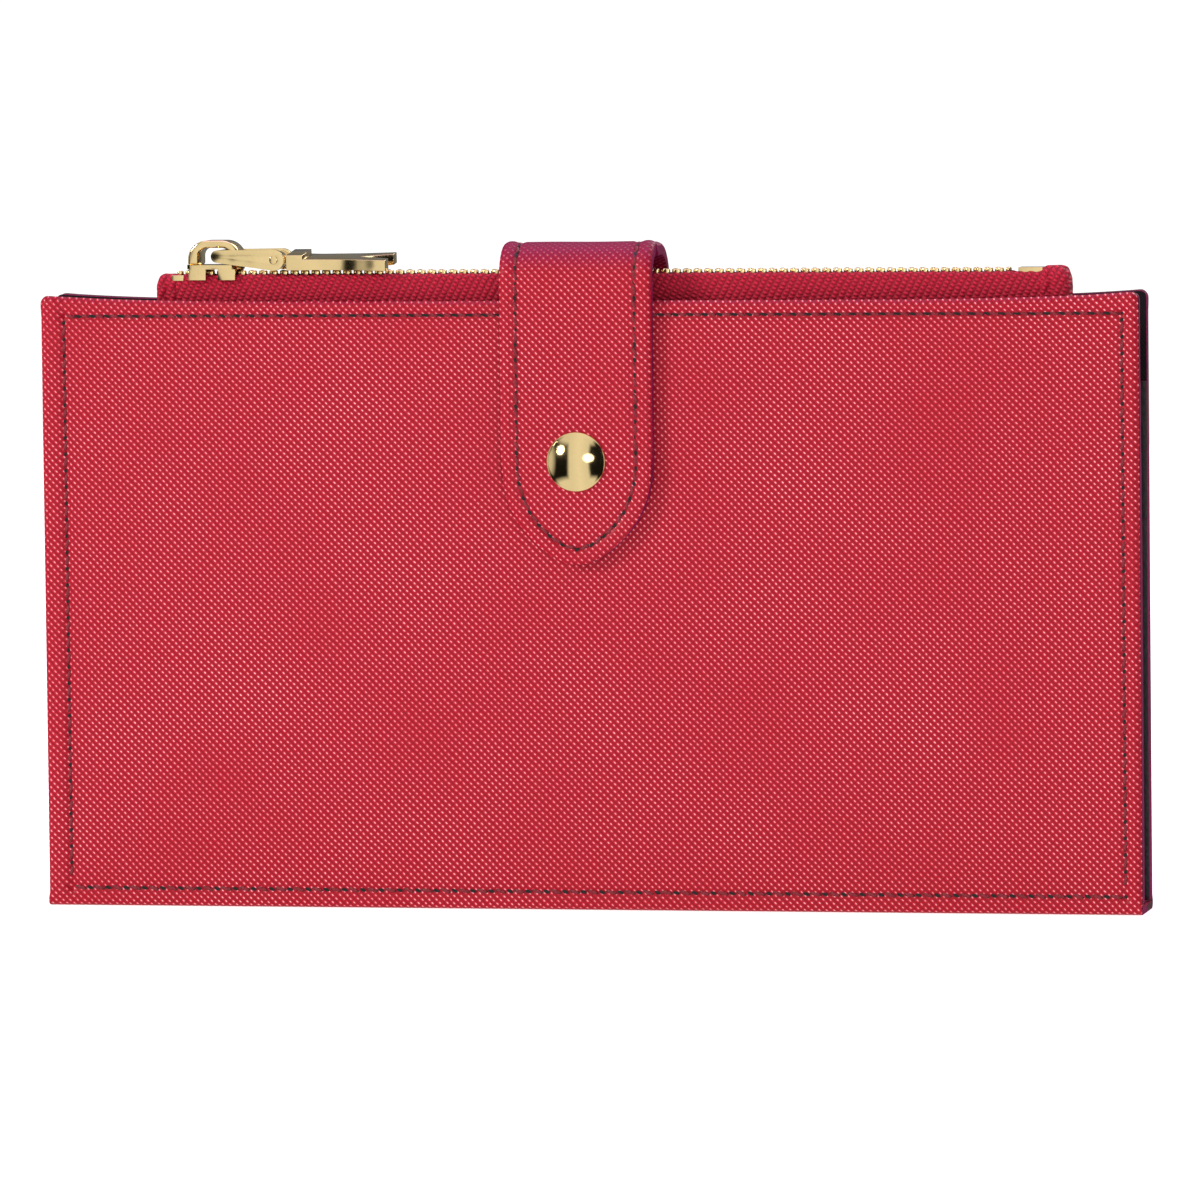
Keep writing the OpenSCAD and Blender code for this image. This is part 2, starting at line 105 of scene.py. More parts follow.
def size(name, default, description):
    return bpy.props.FloatProperty(
        name=name, default=default, description=description + ", in mm", min=0.0
    )


def colour(name, hex_text, description):
    return bpy.props.FloatVectorProperty(
        name=name, default=linear(hex_text), description=description, subtype="COLOR", size=3,
        min=0.0, max=1.0,
    )


class WalletSizes(bpy.types.PropertyGroup):
    """Sizes of the leather work, in millimetres"""

    ear_rise: size("Ear rise", 1.3, "Rise of a leaf's top corners above the middle of its edge")
    corner_r: size("Corner radius", 1.5, "Radius of a leaf's corners")
    fold_r: size("Fold radius", 1.2, "Radius of the leather where it turns from spine to leaf")
    edge_roll: size("Edge roll", 1.2, "Width of the band where the leather rolls to its edge")
    groove: size("Seam groove", 0.36, "Depth to which the thread pulls the leather in")
    seam_left: size("Left seam", 4.2, "Distance of a leaf's left seam from its edge")
    seam_right: size("Right seam", 2.8, "Distance of a leaf's right seam from its edge")
    seam_top: size("Top seam", 3.7, "Distance of a leaf's top seam below its corners")
    seam_low: size("Lower seam", 3.2, "Height of a leaf's lower seam")
    tab_seam: size("Tab seam", 2.9, "Distance of the tab's seam from its edge")
    grain: size("Grain pitch", 0.91, "Distance between the pressed grain's ridges")


class WalletColours(bpy.types.PropertyGroup):
    """Colours of the wallet's materials"""

    leather: colour("Leather", "#b40e27", "Coated face of the saffiano leather")
    # Painted shade: this darker red stands for the shade between the grain's nubs.
    crease_shade: colour("Crease shade", "#86081b", "Painted shade between the grain's ridges")
    # Painted highlight: this pale colour on each nub's tip stands in for its glint.
    polished: colour("Painted tip highlights", "#ffc0ca", "Painted highlights on the tips of the pressed grain")
    # Painted light: the violet that the top lamp throws on the upper face of the tab's bend.
    top_light_tint: colour("Top light on the bend", "#860c3c", "Painted violet top light on the tab's bend")
    # Partly painted light: the paint's purple tone stands in for the bluish light the cut edges
    # catch.
    edge: colour("Edge paint and rim light", "#8a1c50", "Paint on the cut edges, with the bluish light they catch painted in")
    # Also on the rear leaf's cut edge, where its dark tone is painted shade.
    underside: colour("Underside", "#5d1122", "Smooth leather under the tab")
    thread: colour("Thread", "#8c1024", "Sewing thread")
    tape: colour("Zip tape", "#cb1b3a", "Woven zip tape")
    lining: colour("Lining", "#11060d", "Twill lining")
    panel: colour("Card slots", "#180a13", "Smooth leather of the card slots and the pocket")
    gold: colour("Gold plate", "#f0d59a", "Polished plating of the zip and the snap")


# --- making pieces ---


def deselect():
    for thing in bpy.context.selected_objects:
        thing.select_set(False)


def take(piece):
    """Makes piece the only selected object and the active one."""
    deselect()
    piece.select_set(True)
    bpy.context.view_layer.objects.active = piece
    return piece


def modify(piece, kind, **settings):
    """Adds a modifier with its settings and applies it."""
    take(piece)
    modifier = piece.modifiers.new(kind, kind)
    for name, value in settings.items():
        setattr(modifier, name, value)
    bpy.ops.object.modifier_apply(modifier=modifier.name)
    return piece


def edit(piece, *steps):
    """Runs mesh operators, each on the whole mesh: (operator, its settings)."""
    take(piece)
    bpy.ops.object.mode_set(mode="EDIT")
    for operator, settings in steps:
        bpy.ops.mesh.select_all(action="SELECT")
        operator(**settings)
    bpy.ops.object.mode_set(mode="OBJECT")
    return piece


def stations(*spans):
    """Values from each span's start to its end in its number of steps: (start, end, steps)."""
    values = [spans[0][0]]
    for start, end, steps in spans:
        values += [start + (end - start) * i / steps for i in range(1, steps + 1)]
    return values


def sheet_of(name, across, along, place):
    """A grid with a column for each value of across and a row for each of along, in mm.
    place gives each point in mm. The grid's CUT map keeps the two values, in metres."""
    deselect()
    columns, rows = len(across) - 1, len(along) - 1
    bpy.ops.mesh.primitive_grid_add(
        x_subdivisions=columns, y_subdivisions=rows, size=2, calc_uvs=False
    )
    piece = bpy.context.object
    piece.name = piece.data.name = name
    mesh = piece.data
    flat = []
    for vertex in mesh.vertices:
        u = across[round((vertex.co.x + 1) / 2 * columns)]
        v = along[round((vertex.co.y + 1) / 2 * rows)]
        vertex.co = Vector(place(u, v)) * MM
        flat.append((u * MM, v * MM))
    cut = mesh.uv_layers.new(name=CUT)
    for loop in mesh.loops:
        cut.data[loop.index].uv = flat[loop.vertex_index]
    return piece


def thicken(piece, thickness, rim=1, bevel=0.0, even=True):
    """Gives a sheet its thickness inwards; rim is the material number of its cut edges."""
    modify(
        piece, "SOLIDIFY", thickness=thickness * MM, offset=-1, use_even_offset=even,
        use_quality_normals=True, material_offset_rim=rim,
    )
    if bevel:
        modify(
            piece, "BEVEL", width=bevel * MM, segments=3, limit_method="ANGLE",
            angle_limit=math.radians(50), use_clamp_overlap=True,
        )
    return piece


def dress(piece, replaces=(), angle=45):
    """Sets a piece's shading and the CAD nodes that it stands for."""
    take(piece)
    bpy.ops.object.shade_smooth_by_angle(angle=math.radians(angle))
    if replaces:
        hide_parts(*replaces)
    return piece


def coat(piece, *materials):
    """Gives a piece its materials before its thickness and edges are made."""
    for made in materials:
        piece.data.materials.append(made)
    return piece


def repeat(master, places, name):
    """One piece made of a copy of master's mesh at each place; master is removed."""
    copies = []
    for place in places:
        copy = master.copy()
        copy.data = master.data.copy()
        copy.data.transform(place)
        bpy.context.collection.objects.link(copy)
        copies.append(copy)
    deselect()
    for copy in copies:
        copy.select_set(True)
    bpy.context.view_layer.objects.active = copies[0]
    bpy.ops.object.join()
    joined = bpy.context.object
    joined.name = joined.data.name = name
    bpy.data.objects.remove(master)
    return joined


def from_cad(node, name, bevel):
    """A bevelled copy of a CAD node's solid, for a machined or cast metal piece."""
    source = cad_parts[node]
    piece = bpy.data.objects.new(name, source.data.copy())
    piece.data.name = name
    piece.data.materials.clear()
    bpy.context.collection.objects.link(piece)
    edit(
        piece,
        (bpy.ops.mesh.remove_doubles, {"threshold": 1e-6}),
        (bpy.ops.mesh.dissolve_limited, {"angle_limit": math.radians(1)}),
        (bpy.ops.mesh.customdata_custom_splitnormals_clear, {}),
    )
    modify(
        piece, "BEVEL", width=bevel * MM, segments=3, limit_method="ANGLE",
        angle_limit=math.radians(30), use_clamp_overlap=True,
    )
    return piece


def turned(name, profile, centre, steps):
    """Spins a profile of (radius, distance towards -Y) in mm round a line along Y."""
    deselect()
    mesh = bpy.data.meshes.new(name)
    points = [
        ((centre[0] + r) * MM, (centre[1] - out) * MM, centre[2] * MM) for r, out in profile
    ]
    mesh.from_pydata(points, [(i, i + 1) for i in range(len(points) - 1)], [])
    piece = bpy.data.objects.new(name, mesh)
    bpy.context.collection.objects.link(piece)
    round_y = {"angle": 2 * math.pi, "center": Vector(centre) * MM, "axis": (0, 1, 0)}
    return edit(
        piece,
        (bpy.ops.mesh.spin, {"steps": steps, **round_y}),
        (bpy.ops.mesh.remove_doubles, {"threshold": 2e-6}),
        (bpy.ops.mesh.normals_make_consistent, {"inside": False}),
    )


# --- materials ---


# What a colour Mix node needs: its colour output, and colours as its kind of data.
COLOURS = {"out": 2, "data_type": "RGBA"}


def connect(node, inputs):
    """Gives a node's sockets, by name or number, a value or a link from another socket."""
    for socket, value in inputs.items():
        if isinstance(value, bpy.types.NodeSocket):
            node.id_data.links.new(value, node.inputs[socket])
        else:
            node.inputs[socket].default_value = value


def add_node(tree, kind, inputs=None, out=0, **settings):
    """Adds a node with its settings and links, and returns one of its outputs."""
    made = tree.nodes.new("ShaderNode" + kind)
    for name, value in settings.items():
        setattr(made, name, value)
    connect(made, inputs or {})
    return made.outputs[out] if made.outputs else None


def start(name):
    """A new material, the function that adds a node to it, and its Principled shader."""
    made = bpy.data.materials.new(name)
    made.use_nodes = True
    tree = made.node_tree
    return made, functools.partial(add_node, tree), tree.nodes["Principled BSDF"]


def rgba(value, share=1.0):
    return (*(share * channel for channel in value), 1.0)


def ridges(vector, pitch, distortion=0.0):
    """A Wave Texture's inputs for parallel ridges with the given pitch in mm."""
    period = math.pi / 10  # of a Wave Texture at scale 1
    return {"Vector": vector, "Scale": period / (pitch * MM), "Distortion": distortion,
            "Detail": 2.0, "Detail Scale": 1.0}


def saffiano_leather(name, colours, grain):
    """Saffiano: calfskin pressed with a fine cross-hatch and sealed with a clear, hard coat. The
    nubs' tips are glossier and carry a painted highlight, a pale dot in diagonal rows; the
    hollows between them stay duller and carry painted shade."""
    made, add, shader = start(name)
    base = add("UVMap", uv_map=CUT)
    drift = add("TexNoise", {"Vector": base, "Scale": 260.0, "Detail": 2.0}, out="Color")
    shift = add("VectorMath", {0: drift, "Scale": 0.0005}, operation="SCALE")
    wander = add("VectorMath", {0: base, 1: shift}, operation="ADD")
    turned_45 = add("Mapping", {"Vector": wander, "Rotation": (0.0, 0.0, math.radians(45))})
    steep = add("TexWave", ridges(turned_45, grain, 0.4), out="Fac", bands_direction="Y")
    crossing = add("TexWave", ridges(turned_45, grain, 0.4), out="Fac", bands_direction="X")
    soft = add("Math", {0: crossing, 1: 0.5}, operation="POWER")
    nubs = add("Math", {0: steep, 1: soft}, operation="MULTIPLY")
    sharp = add("Math", {0: steep, 1: 4.0}, operation="POWER")
    round_off = add("Math", {0: crossing, 1: 0.9}, operation="POWER")
    tips = add("Math", {0: sharp, 1: round_off}, operation="MULTIPLY")
    pores = add("TexNoise", {"Vector": base, "Scale": 9000.0, "Detail": 2.0})
    height = add("Math", {0: pores, 1: 0.12, 2: nubs}, operation="MULTIPLY_ADD")

    # Painted shade: the leather darkens between the nubs.
    body = add("MapRange", {"Value": nubs, "From Max": 0.35})
    shade = add("Mix", {0: body, 6: rgba(colours.crease_shade), 7: rgba(colours.leather)}, **COLOURS)
    # Painted light: on the upper face of the tab's bend the colour turns to the top lamp's
    # violet and the painted tip highlights fade.
    bend_top_mask = add("Attribute", out="Fac", attribute_name="top_light_tint")
    kept = add("MapRange", {"Value": bend_top_mask, "To Min": 1.0, "To Max": 0.15})
    painted_light_colour = add("Mix", {0: bend_top_mask, 6: shade, 7: rgba(colours.top_light_tint)}, **COLOURS)
    # Painted highlight: a pale dot on each nub's tip, stronger in random patches and fading on
    # the tab's bend.
    cloud = add("TexNoise", {"Vector": base, "Scale": 38.0, "Detail": 3.0})
    glint_patches = add("MapRange", {"Value": cloud, "From Min": 0.3, "From Max": 0.7, "To Min": 0.4})
    shine = add("MapRange", {"Value": tips, "From Min": 0.4, "From Max": 0.95})
    for part in (glint_patches, kept):
        shine = add("Math", {0: shine, 1: part}, operation="MULTIPLY")
    connect(shader, {
        "Base Color": add("Mix", {0: shine, 6: painted_light_colour, 7: rgba(colours.polished)}, **COLOURS),
        "Roughness": add("MapRange", {"Value": tips, "To Min": 0.45, "To Max": 0.2}),
        "Normal": add("Bump", {"Height": height, "Distance": 0.00012}),
        "Specular IOR Level": 0.16, "Coat Weight": 0.05, "Coat Roughness": 0.2,
        "Sheen Weight": 0.12, "Sheen Roughness": 0.25, "Sheen Tint": (0.75, 0.02, 0.6, 1.0),
    })
    return made


def edge_paint_and_rim_light(name, colours):
    """Acrylic edge paint in several coats over a sanded leather edge: smooth, slightly wavy. Its
    purple tone is partly the paint and partly painted light, the bluish light that the edges
    catch.
    """
    made, add, shader = start(name)
    base = add("TexCoord", out="Object")
    waves = add("TexNoise", {"Vector": base, "Scale": 350.0, "Detail": 3.0})
    connect(shader, {
        "Base Color": add("Mix", {0: waves, 6: rgba(colours.edge), 7: rgba(colours.edge, 0.55)},
                          **COLOURS),
        "Normal": add("Bump", {"Height": waves, "Distance": 0.0001}),
        "Roughness": 0.6, "Specular IOR Level": 0.1,
    })
    return made


def smooth_leather(name, tone):
    """Split leather with a plain satin finish: fine pebbled grain and soft folds."""
    pebble = 0.7
    made, add, shader = start(name)
    base = add("TexCoord", out="Object")
    cells = add("TexVoronoi", {"Vector": base, "Scale": 1 / (pebble * MM)})
    clouds = add("TexNoise", {"Vector": base, "Scale": 60.0, "Detail": 4.0})
    connect(shader, {
        "Base Color": add("Mix", {0: clouds, 6: rgba(tone), 7: rgba(tone, 0.55)}, **COLOURS),
        "Roughness": add("MapRange", {"Value": clouds, "To Min": 0.38, "To Max": 0.6}),
        "Normal": add("Bump", {"Height": cells, "Distance": 0.00006, "Strength": 0.8}),
        "Coat Weight": 0.1, "Coat Roughness": 0.3,
    })
    return made


def twill_lining(name, tone):
    """Polyester twill: diagonal ribs 0.5 mm apart, with a faint sheen."""
    made, add, shader = start(name)
    base = add("TexCoord", out="Object")
    slanted = add("Mapping", {"Vector": base, "Rotation": (0.0, math.radians(35), 0.0)})
    ribs = add("TexWave", ridges(slanted, 0.5, 0.4), out="Fac")
    slubs = add("TexNoise", {"Vector": base, "Scale": 700.0, "Detail": 3.0})
    height = add("Math", {0: ribs, 1: 0.7, 2: slubs}, operation="MULTIPLY_ADD")
    connect(shader, {
        "Base Color": add("Mix", {0: ribs, 6: rgba(tone, 0.4), 7: rgba(tone)}, **COLOURS),
        "Normal": add("Bump", {"Height": height, "Distance": 0.00008}),
        "Roughness": 0.75, "Specular IOR Level": 0.25, "Sheen Weight": 0.08,
        "Sheen Roughness": 0.4,
    })
    return made


def woven_tape(name, tone, upright=False):
    """Zip tape: polyester yarn in a herringbone, its cells about 1.1 by 0.7 mm. It lies along
    the piece's flat pattern, or on upright faces."""
    made, add, shader = start(name)
    if upright:
        place = add("TexCoord", out="Object")
        base = add("Mapping", {"Vector": place, "Rotation": (math.radians(-90), 0.0, 0.0)})
    else:
        base = add("UVMap", uv_map=CUT)
    slanted = add("Mapping", {"Vector": base, "Rotation": (0.0, 0.0, math.radians(28))})
    weft = add("TexWave", ridges(slanted, 1.1, 0.7), out="Fac", bands_direction="X")
    warp = add("TexWave", ridges(slanted, 0.72, 0.7), out="Fac", bands_direction="Y")
    cells = add("Math", {0: weft, 1: warp}, operation="MULTIPLY")
    puffed = add("Math", {0: cells, 1: 0.6}, operation="POWER")
    yarn = add("TexNoise", {"Vector": base, "Scale": 2600.0, "Detail": 3.0})
    height = add("Math", {0: yarn, 1: 0.35, 2: puffed}, operation="MULTIPLY_ADD")
    lit = add("MapRange", {"Value": cells, "From Max": 0.4})
    connect(shader, {
        "Base Color": add("Mix", {0: lit, 6: rgba(tone, 0.5), 7: rgba(tone)}, **COLOURS),
        "Normal": add("Bump", {"Height": height, "Distance": 0.0003}),
        "Roughness": 0.6, "Specular IOR Level": 0.25, "Sheen Weight": 0.12,
        "Sheen Roughness": 0.35, "Sheen Tint": (1.0, 0.35, 0.45, 1.0),
    })
    return made


def sewing_thread(name, tone):
    """Waxed polyester thread, two plies twisted; its ends are painted near black where they
    enter a hole, as the shade there.
    """
    made, add, shader = start(name)
    base = add("TexCoord", out="Object")
    slanted = add("Mapping", {"Vector": base, "Rotation": (0.0, math.radians(40), 0.0)})
    plies = add("TexWave", ridges(slanted, 0.35), out="Fac")
    lit = add("Mix", {0: plies, 6: rgba(tone, 0.5), 7: rgba(tone)}, **COLOURS)
    # Painted shade: near black where the thread enters its hole.
    hole_shade = add("Attribute", out="Fac", attribute_name="hole_shade")
    connect(shader, {
        "Base Color": add("Mix", {0: hole_shade, 6: lit, 7: (0.004, 0.0005, 0.001, 1.0)}, **COLOURS),
        "Normal": add("Bump", {"Height": plies, "Distance": 0.00006}),
        "Roughness": 0.5,
    })
    return made


def gold_plate(name, tone, roughness, wave=0.02):
    """Zinc alloy die castings, polished and plated in pale gold: mirror-like, with faint
    waves from the casting and fine wiping marks."""
    made, add, shader = start(name)
    base = add("TexCoord", out="Object")
    waves = add("TexNoise", {"Vector": base, "Scale": 150.0, "Detail": 1.0})
    marks = add("TexNoise", {"Vector": base, "Scale": 3500.0, "Detail": 4.0})
    wiped = add("Math", {0: marks, 1: 0.5}, operation="MULTIPLY")
    connect(shader, {
        "Base Color": add("Mix", {0: wiped, 6: rgba(tone), 7: rgba(tone, 0.8)}, **COLOURS),
        "Roughness": add("MapRange",
                         {"Value": marks, "To Min": roughness * 0.5, "To Max": roughness * 1.6}),
        "Normal": add("Bump", {"Height": waves, "Distance": wave * MM}),
        "Metallic": 1.0,
    })
    return made


def studio_paper(name):
    """Seamless white studio paper, with a barely visible tooth."""
    made, add, shader = start(name)
    base = add("TexCoord", out="Object")
    tooth = add("TexNoise", {"Vector": base, "Scale": 900.0, "Detail": 2.0})
    connect(shader, {
        "Base Color": add("Mix", {0: tooth, 6: rgba((0.95,) * 3), 7: rgba((0.92,) * 3)},
                          **COLOURS),
        "Roughness": 0.9, "Emission Color": (1, 1, 1, 1), "Emission Strength": 0.55,
    })
    return made


MATERIALS = {
    "saffiano": lambda c, s: saffiano_leather("saffiano_leather", c, s.grain),
    "edge": lambda c, s: edge_paint_and_rim_light("edge_paint_and_rim_light", c),
    "underside": lambda c, s: smooth_leather("smooth_red_leather", c.underside),
    "panel": lambda c, s: smooth_leather("smooth_dark_leather", c.panel),
    "lining": lambda c, s: twill_lining("twill_lining", c.lining),
    "tape": lambda c, s: woven_tape("woven_zip_tape", c.tape),
    "tape_end": lambda c, s: woven_tape("folded_zip_tape", c.tape, upright=True),
    "thread": lambda c, s: sewing_thread("waxed_thread", c.thread),
    "gold": lambda c, s: gold_plate("polished_gold_plate", c.gold, 0.1),
    "cast_gold": lambda c, s: gold_plate("plated_casting", c.gold, 0.11, 0.55),
    "teeth": lambda c, s: gold_plate("gold_plated_teeth", c.gold, 0.22),
    "paper": lambda c, s: studio_paper("studio_paper"),
}
made_materials = {}


def material(key):
    """The named material, made when it is first asked for."""
    if key not in made_materials:
        scene = bpy.context.scene
        made_materials[key] = MATERIALS[key](scene.wallet_colours, scene.wallet_sizes)
    return made_materials[key]


# --- the leaves' shape ---


def top_edge(x, s):
    """Height of a leaf's top edge at x."""
    return LEAF_TOP - s.ear_rise * (1 - abs(x / HALF_L) ** 6)


def rounded_corner(x, z, s):
    """Moves a point in a leaf's square top corner onto the rounded one."""
    r = s.corner_r
    a = (abs(x) - (HALF_L - r)) / r
    b = (z - (top_edge(x, s) - r)) / r
    if a <= 0 or b <= 0:
        return x, z
    pull_x = a * (1 - math.sqrt(1 - b * b / 2))
    pull_z = b * (1 - math.sqrt(1 - a * a / 2))
    return x - math.copysign(pull_x * r, x), z - pull_z * r


def leaf_relief(x, z, s):
    """How far the leather stands out from a leaf's flat face, in mm."""
    left, right = -HALF_L + s.seam_left, HALF_L - s.seam_right
    upper, lower = LEAF_TOP - s.seam_top, s.seam_low
    to_top = top_edge(x, s) - z
    edge = min(HALF_L - abs(x), to_top)
    out = 0.0
    if edge < s.edge_roll:
        out -= 0.75 * (1 - math.sqrt(max(0.0, 1 - (1 - edge / s.edge_roll) ** 2)))
    beside = lower - 1 < z < upper + 1
    over = left - 1 < x < right + 1
    for offset, there in ((x - left, beside), (x - right, beside), (z - upper, over),
                          (z - lower, over)):
        if there:
            out -= s.groove * math.exp(-((offset / GROOVE_W) ** 2))
    # Puffed margins: distance past the seam, width of the margin, height of the puff.
    for past, margin, puff in ((z - upper, to_top + z - upper, 0.4),
                               (left - x, s.seam_left, 0.3), (x - right, s.seam_right, 0.2)):
        if past > 0:
            out += puff * math.sin(math.pi * min(1.0, past / margin))
    inside = min(x - left, right - x, upper - z, z - lower)
    if inside > 0:
        out += 0.12 * (1 - math.exp(-((inside / 4) ** 2)))
    return out + 0.1 * noise.noise(Vector((x / 38, z / 30, 3.7)))


def leaf_skin(name, side, sizes):
    """One leaf's leather with its half of the spine, from the middle of the underside to the
    leaf's top edge. side is -1 for the front leaf and 1 for the rear one."""
    r = sizes.fold_r
    bottom = HALF_T - r
    turn = bottom + r * math.pi / 2
    across = stations((-HALF_L, -HALF_L + 1.5, 6), (-HALF_L + 1.5, -HALF_L + 7, 12),
                      (-HALF_L + 7, HALF_L - 6, 112), (HALF_L - 6, HALF_L - 1.5, 12),
                      (HALF_L - 1.5, HALF_L, 6))
    if side > 0:
        across.reverse()
    along = stations((0, bottom, 4), (bottom, turn, 8), (turn, turn + 3.6, 10),
                     (turn + 3.6, turn + 96, 56), (turn + 96, turn + LEAF_TOP - r - 1.5, 20),
                     (turn + LEAF_TOP - r - 1.5, turn + LEAF_TOP - r, 8))

    def place(x, run):
        if run <= bottom:
            return x, side * run, 0.0
        if run <= turn:
            angle = (run - bottom) / r
            return x, side * (bottom + r * math.sin(angle)), r - r * math.cos(angle)
        z = r + run - turn
        rise = z / LEAF_TOP
        z -= (LEAF_TOP - top_edge(x, sizes)) * rise * rise
        fade = min(1.0, (z - r) / 1.2)
        out = leaf_relief(x, z, sizes) * fade
        x, z = rounded_corner(x, z, sizes)
        return x, side * (HALF_T + out), z

    skin = sheet_of(name, across, along, place)
    # The rear leaf's cut edge takes the dark smooth leather: painted shade, as that edge stands
    # in shade.
    coat(skin, material("saffiano"), material("edge" if side < 0 else "underside"))
    thicken(skin, COVER_T)
    return skin


def leaf_point(side, sizes):
    """A function from a flat point of a leaf's face to its place and its outward normal."""

    def find(x, z):
        return (
            Vector((x, side * (HALF_T + leaf_relief(x, z, sizes)), z)),
            Vector((0, side, 0)),
        )

    return find


# --- seams ---


def stitch():
    """One stitch along X, 2.1 mm long, its ends bent into their holes. Its float attribute is 1
    at the ends, where the material paints the shade of the holes."""
    deselect()
    bpy.ops.mesh.primitive_cylinder_add(
        vertices=8, radius=0.3 * MM, depth=2.1 * MM, end_fill_type="NGON",
        rotation=(0, math.pi / 2, 0),
    )
    bpy.ops.object.transform_apply(rotation=True)
    piece = bpy.context.object
    cuts = [{"plane_co": (x * MM, 0, 0), "plane_no": (1, 0, 0)} for x in (-0.8, -0.5, 0.5, 0.8)]
    edit(piece, *((bpy.ops.mesh.bisect, cut) for cut in cuts))
    for vertex in piece.data.vertices:
        far = abs(vertex.co.x) / (1.05 * MM)
        vertex.co.z *= 0.75
        vertex.co.y *= 1.15 - 0.45 * far**3
        vertex.co.z -= 0.42 * MM * max(0.0, far - 0.45) ** 2 / 0.3
    hole_shade = piece.data.attributes.new("hole_shade", "FLOAT", "POINT")
    for vertex in piece.data.vertices:
        hole_shade.data[vertex.index].value = min(1.0, max(0.0, abs(vertex.co.x) / MM - 0.62) / 0.3)
    return piece


def slot_shade():
    """A near-black disc of painted shade for the slot that the needle leaves between two
    stitches, 1 mm across before scaling.
    """
    deselect()
    bpy.ops.mesh.primitive_circle_add(vertices=10, radius=0.5 * MM, fill_type="TRIFAN")
    piece = bpy.context.object
    hole_shade = piece.data.attributes.new("hole_shade", "FLOAT", "POINT")
    for vertex in piece.data.vertices:
        hole_shade.data[vertex.index].value = 1.0
    return piece


def walk(points, pitch):
    """Middles and directions of stitches about pitch apart along a flat line of points."""
    lengths = [math.dist(a, b) for a, b in zip(points, points[1:])]
    total = sum(lengths)
    count = max(1, round(total / pitch))
    found = []
    for k in range(count):
        target = total * (k + 0.5) / count
        for (a, b), length in zip(zip(points, points[1:]), lengths):
            if target <= length:
                t = target / length
                middle = tuple(a[i] + (b[i] - a[i]) * t for i in (0, 1))
                found.append((middle, ((b[0] - a[0]) / length, (b[1] - a[1]) / length)))
                break
            target -= length
    return found


def sew(name, lines, find, slant=10):
    """A seam on the surface that find gives, from (flat line, pitch, length of a slot) of each
    line: a stitch every pitch, with a slanted slot of painted shade between it and the next."""
    stitches, slots = [], []
    for points, pitch, slot in lines:
        for k, (middle, way) in enumerate(walk(points, pitch)):
            for along, places, lift in ((0.0, stitches, 0.1), (pitch / 2, slots, 0.2)):
                spot = (middle[0] + way[0] * along, middle[1] + way[1] * along)
                ahead = find(spot[0] + way[0] * 0.5, spot[1] + way[1] * 0.5)[0]
                behind = find(spot[0] - way[0] * 0.5, spot[1] - way[1] * 0.5)[0]
                centre, normal = find(*spot)
                x_axis = (ahead - behind).normalized()
                z_axis = (normal - x_axis * normal.dot(x_axis)).normalized()
                y_axis = z_axis.cross(x_axis)
                axes = Matrix((x_axis, y_axis, z_axis)).transposed().to_4x4()
                jitter = 5 * math.sin(k * 2.4)
                turn = Matrix.Rotation(math.radians(slant + jitter), 4, "Z")
                if places is slots:
                    stretch = Matrix.Diagonal((slot, 0.58, 1, 1))
                else:
                    stretch = Matrix.Diagonal((min(1.15, pitch / 2.75), 1, 1, 1))
                place = Matrix.Translation((centre + z_axis * lift) * MM)
                places.append(place @ axes @ turn @ stretch)
    thread = repeat(stitch(), stitches, name)
    # Near-black discs of painted shade in the needle slots.
    dark = repeat(slot_shade(), slots, name + "_slots")
    take(thread)
    dark.select_set(True)
    bpy.ops.object.join()
    return coat(thread, material("thread"))


# --- the tab's shape ---


